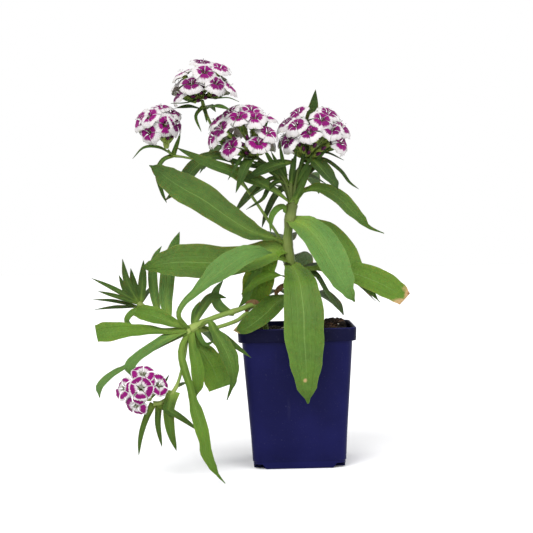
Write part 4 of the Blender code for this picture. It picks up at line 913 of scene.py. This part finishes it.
# Heads: where the stem ends, the middle of the dome, its half sizes, and each flower's turn and
# height on the dome in degrees. A turn of -90 faces the front and 0 faces +X.
heads = {
    "first_head": dict(
        base=(-83, -4.4, 342.4), middle=(-81, -4, 353), size=(25, 24, 24),
        florets=[(-170, 35), (-115, 5), (-85, 32), (-95, 78), (-15, 50), (-60, 5), (-20, 0), (-160, -14),
                 (165, 10), (40, 14), (90, 35), (120, 5)]),
    "second_head": dict(
        base=(-118, 0, 297.3), middle=(-125, -2, 319), size=(19, 18, 17),
        florets=[(-65, -2), (-115, 25), (-25, 5), (-50, 75), (-5, 48), (-155, 20), (-118, -26), (140, 15),
                 (70, 20)]),
    "third_head": dict(
        base=(-34, -2, 285), middle=(-46, -4, 306), size=(31, 27, 27),
        florets=[(-60, 38), (-12, 42), (-40, 6), (-130, 15), (-98, 40), (-60, -15), (-155, 2), (-112, -22),
                 (-25, 72), (-140, 60), (-165, 36), (112, 12), (95, 45), (64, 24), (34, -4)]),
    "fourth_head": dict(
        base=(12, 0, 281.4), middle=(20, 0, 305), size=(31, 27, 27),
        florets=[(-165, 30), (-160, 62), (-125, 22), (-98, 6), (-72, 34), (-35, 55), (-55, 12), (-22, 18),
                 (-140, -8), (-32, -14), (25, 30), (60, 12), (110, 15), (148, 5)]),
    "low_head": dict(
        base=(-132.4, -81.7, 70.4), middle=(-138, -84, 80), size=(19, 17, 18),
        florets=[(-80, 62), (-150, 12), (-88, 14), (-30, 18), (-112, -43), (90, 40)]),
}

headLeafRoutes = {
    "first_head": [
        ([(-84, -5, 344), (-96, -20, 338), (-111, -26, 337)],
         2.5, "strap", (0, -0.6, 0.8), (0, -0.6, 0.8), "dark"),
        ([(-82, -4, 344), (-70, -22, 341), (-58, -26, 341), (-48, -26, 337)],
         2.5, "strap", (0, -0.6, 0.8), (0, -0.6, 0.8), "dark"),
    ],
    "second_head": [],
    "third_head": [
        ([(-34, -3, 286), (-40, -22, 283), (-45, -34, 273), (-53, -37, 253)],
         12, "lance", (-0.3, -0.6, 0.7), (-0.3, -0.9, 0.1), "dark"),
        ([(-35, -4, 285), (-46, -24, 287), (-53, -32, 276), (-60, -35, 265)],
         4, "strap", (-0.3, -0.8, 0.5), (-0.4, -0.9, 0.1), "dark"),
        ([(-36, -3, 286), (-56, -14, 290), (-80, -20, 291)],
         3, "strap", (0, -0.6, 0.8), (0, -0.6, 0.8), "dark"),
        ([(-34, -1, 286), (-40, 22, 291), (-48, 42, 280)], 9, "lance", (0, 0.3, 1), (0, 0.7, 0.6), "dark"),
    ],
    "fourth_head": [
        # the leaf that stands up through the flowers
        ([(12, 1, 283), (15, 9, 300), (19, 12, 320), (22, 12, 336), (24, 13, 351)],
         13, "lance", (-0.3, -0.9, 0), (-0.2, -0.9, 0), "dark"),
        ([(13, -2, 284), (18, -10, 284), (25, -18, 276), (31, -23, 268), (37, -26, 261), (41, -28, 254)],
         18, (0.55, 0.92, 1, 0.87, 0.56, 0.07), (0.3, -0.6, 0.7), (0.5, -0.8, 0.3), "dark"),
        ([(14, 0, 283), (30, 0, 284), (45, -2, 273), (53, -3, 262), (62, -4, 255)],
         4, "strap", (0, -0.7, 0.7), (0.3, -0.9, 0.3), "dark"),
        ([(14, -2, 284), (30, -10, 290), (48, -12, 282)],
         3, "strap", (0, -0.7, 0.7), (0.2, -0.8, 0.5), "dark"),
        ([(12, 2, 283), (20, 22, 288), (30, 40, 278)], 10, "lance", (0, 0.3, 1), (0, 0.7, 0.6), "dark"),
    ],
    "low_head": [
        ([(-132, -82, 73), (-122, -72, 82), (-115, -68, 92)],
         3, "strap", (0.2, -1, 0), (0.2, -1, 0), "dark"),
    ],
}

# Flowers: a ribbed calyx tube on a stalk, five toothed petals, pale stamens and dark closed buds
flowerForm = dict(
    lowLean=(0, 0, 1.0), highLean=(0, -0.6, 0.3), frontLean=(0, -0.35, 0.1), randomTilt=0.22,
    radius=12.0, throatRadius=1.3, throatDepth=3.2, petalSteps=9, petalCells=14, petalThick=0.22,
    teeth=6, toothDepth=0.11, gapUnderPetals=0.8, hang=3.4, lowHeadScale=0.95,
    calyxLength=16.0, calyxRadius=2.2, calyxTooth=3.4,
    bractLength=15.0, bractWidth=1.9, stamenRise=4.0,
)

petalPaint = dict(
    white=(0.52, 0.505, 0.50), blushWhite=(0.40, 0.24, 0.33), magenta=(0.185, 0.0008, 0.112),
    purple=(0.046, 0.0008, 0.036), throat=(0.30, 0.34, 0.18), under=(0.36, 0.36, 0.26),
)

calyxPaint = dict(
    green=(0.165, 0.230, 0.034), rib=(0.255, 0.330, 0.070), tip=(0.050, 0.022, 0.030),
    foot=(0.22, 0.29, 0.070),
)

budPaint = dict(dark=(0.020, 0.004, 0.018), rose=(0.16, 0.012, 0.09))

stamenPaint = dict(thread=(0.50, 0.49, 0.45), tip=(0.20, 0.18, 0.21))


# Petal: white, with a magenta band whose inner edge runs into streaks and whose outer edge is jagged
def petalSkin(start):
    across, along, upper = start.attribute("plan").parts()
    depth, ring, blotch = start.attribute("mood").parts()       # blotch 0: outer ring, 1: inner blotch
    place = start.place()
    cloudy = place.grain(260.0, 3.0)
    spread = across * (along * 0.75 + 0.25)
    rays = start.vector(spread * 7.0, along * 0.9 + ring * 11.0, ring * 37.0).grain(2.4, 2.0)
    fine = start.vector(spread * 22.0, along * 1.6, ring * 19.0).grain(2.0, 3.0)
    reach = along + blotch * (ring * 0.12 + 0.09)
    ragged = fine * 0.22 * (1.0 - blotch)
    inner = (reach + rays * 0.50 - ragged - ring * 0.06 + blotch * 0.14 + 0.10).ramp(0.56, 0.66)
    jagged = rays * (blotch * 0.30 + 0.16) + fine * (blotch * 0.14 + 0.10) + blotch * -0.14
    outer = (reach + jagged + ring * 0.06 + across.size() ** 3.0 * 0.12).ramp(1.06, 1.00)
    sides = (across.size() + fine * 0.16 + blotch * (ring * 0.12 - 0.08)).ramp(1.06, 0.97)
    streaks = fine.ramp(0.52, 0.66) * along.ramp(0.14, 0.30) * (1.0 - blotch) * 0.65
    band = inner * outer * sides
    deep = (depth + cloudy * 0.5 - 0.25).ramp(0.0, 1.0)
    rose = start.paint(petalPaint["magenta"]).blend(petalPaint["purple"], deep)
    rose = rose.blend(petalPaint["blushWhite"], rays.ramp(0.60, 0.78) * fine.ramp(0.50, 0.70) * 0.25)
    colour = start.paint(petalPaint["white"]).blend(petalPaint["blushWhite"], streaks * 0.8 + cloudy * 0.10)
    colour = colour.blend(petalPaint["throat"], along.ramp(0.20, 0.06) * 0.8)
    colour = colour.blend(petalPaint["under"], (1.0 - upper) * 0.85)
    colour = colour.blend(rose, band * (upper * 0.72 + 0.28))
    relief = (spread * 60.0 + rays * 4.0).wave() * 0.4 + cloudy * 0.5
    return {"Base Color": colour, "Roughness": 0.52 + cloudy * 0.16, "Bump": (relief, 0.00022)}


def calyxSkin(start):
    turn, along = start.attribute("plan").parts()[:2]
    tone = start.attribute("mood").parts()[0]
    cloudy = start.place().grain(180.0, 3.0)
    ribs = (turn * 62.832).wave() * 0.5 + 0.5
    colour = start.paint(calyxPaint["green"]).blend(calyxPaint["rib"], ribs * 0.55 + cloudy * 0.20)
    colour = colour.blend(calyxPaint["foot"], along.ramp(0.30, 0.05) * 0.5)
    colour = colour.blend(calyxPaint["tip"], (along + cloudy * 0.24).ramp(0.92, 1.12) * 0.85)
    colour = colour.tint(0.75 + tone * 0.5)
    return {"Base Color": colour, "Roughness": 0.46 + cloudy * 0.18, "Bump": (ribs + cloudy * 0.5, 0.0003)}


def budSkin(start):
    turn, along = start.attribute("plan").parts()[:2]
    cloudy = start.place().grain(300.0, 2.0)
    twist = (turn * 18.85 + along * 5.0).wave() * 0.5 + 0.5
    colour = start.paint(budPaint["dark"]).blend(budPaint["rose"], twist * 0.35 + along.ramp(0.5, 1.0) * 0.25)
    return {"Base Color": colour, "Roughness": 0.45 + cloudy * 0.2, "Bump": (twist, 0.0003)}


def stamenSkin(start):
    along = start.attribute("plan").parts()[1]
    cloudy = start.place().grain(500.0, 2.0)
    tip = along.ramp(0.86, 0.92) * (0.6 + cloudy * 0.4)
    colour = start.paint(stamenPaint["thread"]).blend(stamenPaint["tip"], tip)
    return {"Base Color": colour, "Roughness": 0.55 + cloudy * 0.1}


petalFinish = {"Specular IOR Level": 0.12}
petalMaterial = newMaterial("petals white and magenta", petalSkin, petalFinish)
calyxMaterial = newMaterial("calyx green", calyxSkin, {"Specular IOR Level": 0.15})
budMaterial = newMaterial("closed buds", budSkin, {"Specular IOR Level": 0.15})
stamenMaterial = newMaterial("stamens", stamenSkin, {"Specular IOR Level": 0.15})


# Where a flower sits on its dome, the way it faces, and the way its stalk comes
def flowerSeat(head, turn, height):
    turn, height = math.radians(turn), math.radians(height)
    way = Vector((math.cos(height) * math.cos(turn), math.cos(height) * math.sin(turn), math.sin(height)))
    size = head["size"]
    offset = Vector((way.x * size[0], way.y * size[1], way.z * size[2]))
    normal = Vector((way.x / size[0], way.y / size[1], way.z / size[2])).normalized()
    spot = Vector(head["middle"]) + offset
    stalk = (spot - Vector(head["base"])).normalized()
    rise = min(max((math.degrees(height) + 20) / 80, 0), 1)      # low flowers look up, high ones to the front
    lean = Vector(flowerForm["lowLean"]).lerp(Vector(flowerForm["highLean"]), rise)
    if head["size"][2] <= 18:
        lean = Vector(flowerForm["frontLean"])
    return spot, (normal + stalk * 0.4 + lean).normalized(), stalk


def addPetal(shape, spot, face, spoke, pick, mood, curl):
    form = flowerForm
    cross = face.cross(spoke)
    radius = form["radius"] * pick.uniform(0.92, 1.04) * (form["lowHeadScale"] if mood[2] < 0.5 else 1.0)
    droop = curl + pick.uniform(-0.8, 1.0) + form["hang"] * mood[2] * max(-spoke.z, 0)
    twist = pick.uniform(-0.9, 0.9)
    steps, cells = form["petalSteps"], form["petalCells"]
    phase = pick.uniform(0, 6.3)
    rows = []
    for i in range(steps + 1):
        t = i / steps
        reach = form["throatRadius"] + (radius - form["throatRadius"]) * t
        fan = radius * (0.07 + (0.56 + 0.05 * mood[2]) * max(t - 0.10, 0) ** 0.75)
        dip = -form["throatDepth"] * (1 - min(t / 0.22, 1.0)) ** 1.5
        row = []
        for k in range(cells + 1):
            s = 2 * k / cells - 1
            tooth = abs((k / cells * form["teeth"]) % 1.0 - 0.5) * 2
            edge = 1 - 0.13 * abs(s) ** 2.6 * t - form["toothDepth"] * (1 - tooth) * t ** 6
            rise = dip + 0.9 * math.sin(math.pi * t) - droop * t ** 2.4
            rise += twist * s * t + 0.45 * t * t * math.sin(s * 6 + phase) - 0.5 * s * s * t
            row.append(spot + spoke * (reach * edge) + cross * (fan * s) + face * rise)
        rows.append(row)
    rings = []
    for i, row in enumerate(rows):
        t = i / steps
        thick = form["petalThick"] / 2 * (1 - 0.6 * t)
        upper = [addPoint(shape, p + face * thick * (0 < k < cells), (2 * k / cells - 1, t, 1.0), mood)
                 for k, p in enumerate(row)]
        lower = [addPoint(shape, row[k] - face * thick, (2 * k / cells - 1, t, 0.0), mood)
                 for k in range(cells - 1, 0, -1)]
        rings.append(upper + lower)
    skinRings(shape, rings)


def addFlower(shape, spot, face, roll, pick, mood, curl):
    across, other = crossAxes(face, flowerHint)
    for k in range(5):
        angle = roll + (k + 0.5) * 2 * math.pi / 5 + pick.uniform(-0.05, 0.05)
        spoke = around(across, other, angle)
        addPetal(shape, spot, face, spoke, pick, (mood[0], (mood[1] + 0.17 * k) % 1.0, mood[2]), curl)


# Calyx: stalk, ribbed tube and five pointed teeth, as one closed skin with an open mouth
def addCalyx(shape, base, foot, mouth, tone, closed=False):
    form = flowerForm
    sides = 20
    way = (mouth - foot).normalized()
    across, other = crossAxes(way, stalkHint)
    length = (mouth - foot).length
    stalk = smoothRoute([base, base.lerp(foot, 0.55), foot], 6)
    stations = [(p, 0.75 + 0.05 * i, 0.0) for i, p in enumerate(stalk[:-1])]
    swell = ((0.0, 1.15), (0.06, 1.75), (0.3, 2.05), (0.6, 2.15), (0.82, form["calyxRadius"]))
    stations += [(foot + way * (length * v), r, v) for v, r in swell]
    rings = []
    for place, radius, v in stations:
        ring = []
        for j in range(sides):
            turn = 2 * math.pi * j / sides
            ribbed = radius * (1 + 0.05 * math.cos(turn * 10) * (v > 0))
            spot = place + around(across, other, turn) * ribbed
            ring.append(addPoint(shape, spot, (j / sides, v, 0), (tone, 0, 0)))
        rings.append(ring)
    for inset, v in ((0.0, 1.0), (0.25, 0.98)):
        ring = []
        for j in range(sides):
            turn = 2 * math.pi * j / sides
            tooth = abs((j / sides * 5) % 1.0 - 0.5) * 2
            rise = form["calyxTooth"] * (tooth - 0.75) * (0.8 if closed else 1.0)
            radius = 1.0 if closed and tooth > 0.9 else form["calyxRadius"] + 0.10 * tooth - inset
            spot = mouth + way * rise + around(across, other, turn) * radius
            ring.append(addPoint(shape, spot, (j / sides, v - 0.12 * (1 - tooth), 0), (tone, 0, 0)))
        rings.append(ring)
    depth = foot + way * (length * 0.55)
    ring = []
    for j in range(sides):
        turn = 2 * math.pi * j / sides
        spot = depth + around(across, other, turn) * 1.5
        ring.append(addPoint(shape, spot, (j / sides, 0.3, 0), (tone, 0, 0)))
    rings.append(ring)
    skinRings(shape, rings)


# Awl-shaped bracts that stand round the foot of a calyx
def addBracts(shape, foot, mouth, pick, count=4):
    way = (mouth - foot).normalized()
    across, other = crossAxes(way, stalkHint)
    start = pick.uniform(0, 6.3)
    for k in range(count):
        turn = start + k * 2 * math.pi / count + pick.uniform(-0.4, 0.4)
        out = around(across, other, turn)
        length = flowerForm["bractLength"] * pick.uniform(0.75, 1.1)
        route = [foot + out * 0.7, foot + out * 2.7 + way * (length * 0.4),
                 foot + out * 3.4 + way * (length * 0.75), foot + out * pick.uniform(3.8, 6.0) + way * length]
        addLeaf(shape, route, flowerForm["bractWidth"], "strap", tuple(-out), tuple(-out), "light")


def addStamens(shape, spot, face, pick):
    across, other = crossAxes(face, flowerHint)
    for k in range(pick.choice((2, 3, 4))):
        turn = pick.uniform(0, 6.3)
        out = around(across, other, turn)
        top = spot + face * (flowerForm["stamenRise"] * pick.uniform(0.5, 1.0)) + out * pick.uniform(1.0, 2.6)
        path = smoothRoute([spot - face * 2.5 + out * 0.3, spot + face * 1.2 + out * 0.5, top], 6)
        path.append(top + (top - path[-2]).normalized() * 1.0)
        radii = [0.16] * 6 + [0.42, 0.10]
        rings = []
        for place, radius in zip(path, radii):
            ring = []
            for j in range(5):
                angle = 2 * math.pi * j / 5
                point = place + around(across, other, angle) * radius
                along = 1.0 if radius > 0.3 or place is path[-1] else 0.3
                ring.append(addPoint(shape, point, (j / 5, along, 0), (0, 0, 0)))
            rings.append(ring)
        skinRings(shape, rings)


# A closed bud: a short calyx with a dark twisted tip
def addBud(greens, tips, head, turn, height, reach):
    spot, face, stalk = flowerSeat(head, turn, height)
    base = Vector(head["base"]) + Vector((0, 0, 3))
    top = base + (spot - base) * reach
    way = (top - base).normalized()
    mouth = top - way * 3.0
    foot = mouth - way * min(12.0, (mouth - base).length * 0.7)
    addCalyx(greens, base, foot, mouth, 0.3, True)
    across, other = crossAxes(way, stalkHint)
    rings = []
    for v, radius in ((-2.0, 1.5), (0.0, 1.7), (1.6, 1.6), (3.2, 1.1), (4.6, 0.25)):
        ring = []
        for j in range(10):
            angle = 2 * math.pi * j / 10 + v * 0.15
            point = mouth + way * v + around(across, other, angle) * radius
            ring.append(addPoint(tips, point, (j / 10, (v + 2.0) / 6.6, 0), (0, 0, 0)))
        rings.append(ring)
    skinRings(tips, rings)


buds = {
    "first": [(-130, 60, 0.8), (-50, 45, 0.8), (-90, 10, 0.7), (60, 60, 0.8), (150, 30, 0.8),
              (-95, -14, 0.8),
              (-80, -30, 0.8), (-125, -24, 0.8), (-50, -20, 0.8), (-75, 12, 0.85), (-110, -40, 0.8)],
    "second": [(-90, 55, 0.9), (0, 20, 0.8), (100, 40, 0.8), (-80, -20, 0.8), (-50, -30, 0.8),
               (-20, -20, 0.8)],
    "third": [(-110, 0, 0.9), (-85, 5, 0.85), (-75, -25, 0.8), (-20, 20, 0.8), (-120, 70, 0.8),
              (30, 60, 0.8),
              (-95, -12, 0.9), (-62, -4, 0.85), (-50, -22, 0.9), (-135, -8, 0.85), (-88, -34, 0.85),
              (-30, -10, 0.85), (-120, -30, 0.8), (-20, -18, 0.8)],
    "fourth": [(-110, -18, 0.8), (-75, 8, 0.85), (-140, 45, 0.8), (-90, 60, 0.8), (-10, 40, 0.9),
               (90, 50, 0.8),
               (-85, -14, 0.9), (-62, -20, 0.85), (-45, -8, 0.9), (-120, -8, 0.85), (-98, -30, 0.85),
               (-20, -6, 0.85), (-150, -20, 0.8), (-70, -34, 0.8)],
    "low": [(-60, 35, 0.8), (-120, 40, 0.8), (20, 30, 0.8)],
}

headMoods = dict(first=0.30, second=0.25, third=0.22, fourth=0.30, low=0.05)   # 0 magenta, 1 dark purple


def makeHead(name, head, rolls):
    pick = random.Random(name)
    base = Vector(head["base"])
    greens, bracts, petals, stamens, tips = (startMesh() for _ in range(5))
    addStem(greens, [base, base + Vector((0, 0, 2.5)), base + Vector((0, 0, 5))], [1.9, 2.8, 3.2], (), 0.4)
    for (turn, height), roll in zip(head["florets"], rolls):
        spot, face, stalk = flowerSeat(head, turn, height)
        root = base + Vector((0, 0, 3))
        nudge = Vector([pick.uniform(-1, 1) for _ in range(3)]) * flowerForm["randomTilt"]
        face = (face + nudge).normalized()
        tilt = face.cross((spot - root).normalized()).length
        mouth = spot - face * (flowerForm["gapUnderPetals"] + flowerForm["calyxRadius"] * tilt)
        foot = mouth - (face * 0.4 + stalk * 0.6).normalized() * flowerForm["calyxLength"]
        if (foot - root).length < 4 or (foot - root).dot(stalk) < 0:
            foot = root + (mouth - root) * 0.3
        addCalyx(greens, root, foot, mouth, pick.uniform(0.3, 0.9))
        addBracts(bracts, foot, mouth, pick)
        depth = headMoods[name] + pick.uniform(-0.45, 0.45)
        blotch = 0.0 if name == "low" else 1.0
        addFlower(petals, spot, face, roll, pick, (depth, pick.random(), blotch), pick.uniform(0.6, 2.4))
        addStamens(stamens, spot, face, pick)
    for turn, height, reach in buds[name]:
        addBud(greens, tips, head, turn, height, reach)
    for row in headLeafRoutes[name + "_head"]:
        addLeaf(bracts, *row)
    calyxNode, floretNode = name + "_head_calyxes", name + "_head_florets"
    endMesh(greens, name + "Calyxes", calyxMaterial, calyxNode, 60.0)
    endMesh(bracts, name + "Bracts", leafMaterial, calyxNode)
    endMesh(tips, name + "Buds", budMaterial, calyxNode)
    endMesh(petals, name + "Petals", petalMaterial, floretNode)
    endMesh(stamens, name + "Stamens", stamenMaterial, floretNode)


# the same turns of the flowers as in the CAD source
turnPick = random.Random(11)
for headName, headPlan in heads.items():
    flowerRolls = [turnPick.uniform(0, 1.25) for _ in headPlan["florets"]]
    makeHead(headName.replace("_head", ""), headPlan, flowerRolls)

# Studio: a white floor, a white surround and one big soft light from the upper left front
studio = dict(
    floorSize=12.0, floorWhite=(0.86, 0.86, 0.87), surround=1.0, sunStrength=2.4, sunAngle=38.0,
    fillAim=(-0.03, 0.0, 0.2),
    sunTilt=(38.0, -24.0, 0.0), fillPlace=(0.9, -1.3, 0.9), fillPower=14.0, fillSize=1.2,
)


def floorPaper(start):
    speckle = start.place().grain(6.0, 3.0)
    colour = start.paint(studio["floorWhite"]).tint(0.985 + speckle * 0.03)
    return {"Base Color": colour, "Roughness": 0.8 + speckle * 0.1}


def makeStudio():
    size = studio["floorSize"] / 2
    mesh = bpy.data.meshes.new("studioFloor")
    corners = [(-size, -size, 0), (size, -size, 0), (size, size, 0), (-size, size, 0)]
    mesh.from_pydata(corners, [], [(0, 1, 2, 3)])
    mesh.materials.append(newMaterial("white paper floor", floorPaper, {"Specular IOR Level": 0.1}))
    floor = bpy.data.objects.new("studioFloor", mesh)
    bpy.context.scene.collection.objects.link(floor)
    world = bpy.data.worlds.new("whiteSurround")
    world.use_nodes = True
    background = world.node_tree.nodes["Background"]
    background.inputs["Color"].default_value = (1.0, 1.0, 1.0, 1.0)
    background.inputs["Strength"].default_value = studio["surround"]
    bpy.context.scene.world = world
    sun = bpy.data.lights.new("softKey", "SUN")
    sun.energy = studio["sunStrength"]
    sun.angle = math.radians(studio["sunAngle"])
    key = bpy.data.objects.new("softKey", sun)
    key.rotation_euler = [math.radians(a) for a in studio["sunTilt"]]
    bpy.context.scene.collection.objects.link(key)
    area = bpy.data.lights.new("softFill", "AREA")
    area.energy = studio["fillPower"]
    area.size = studio["fillSize"]
    fill = bpy.data.objects.new("softFill", area)
    fill.location = studio["fillPlace"]
    aim = Vector(studio["fillAim"]) - fill.location
    fill.rotation_euler = aim.to_track_quat("-Z", "Y").to_euler()
    bpy.context.scene.collection.objects.link(fill)
    bpy.context.scene.view_settings.view_transform = "Standard"


makeStudio()
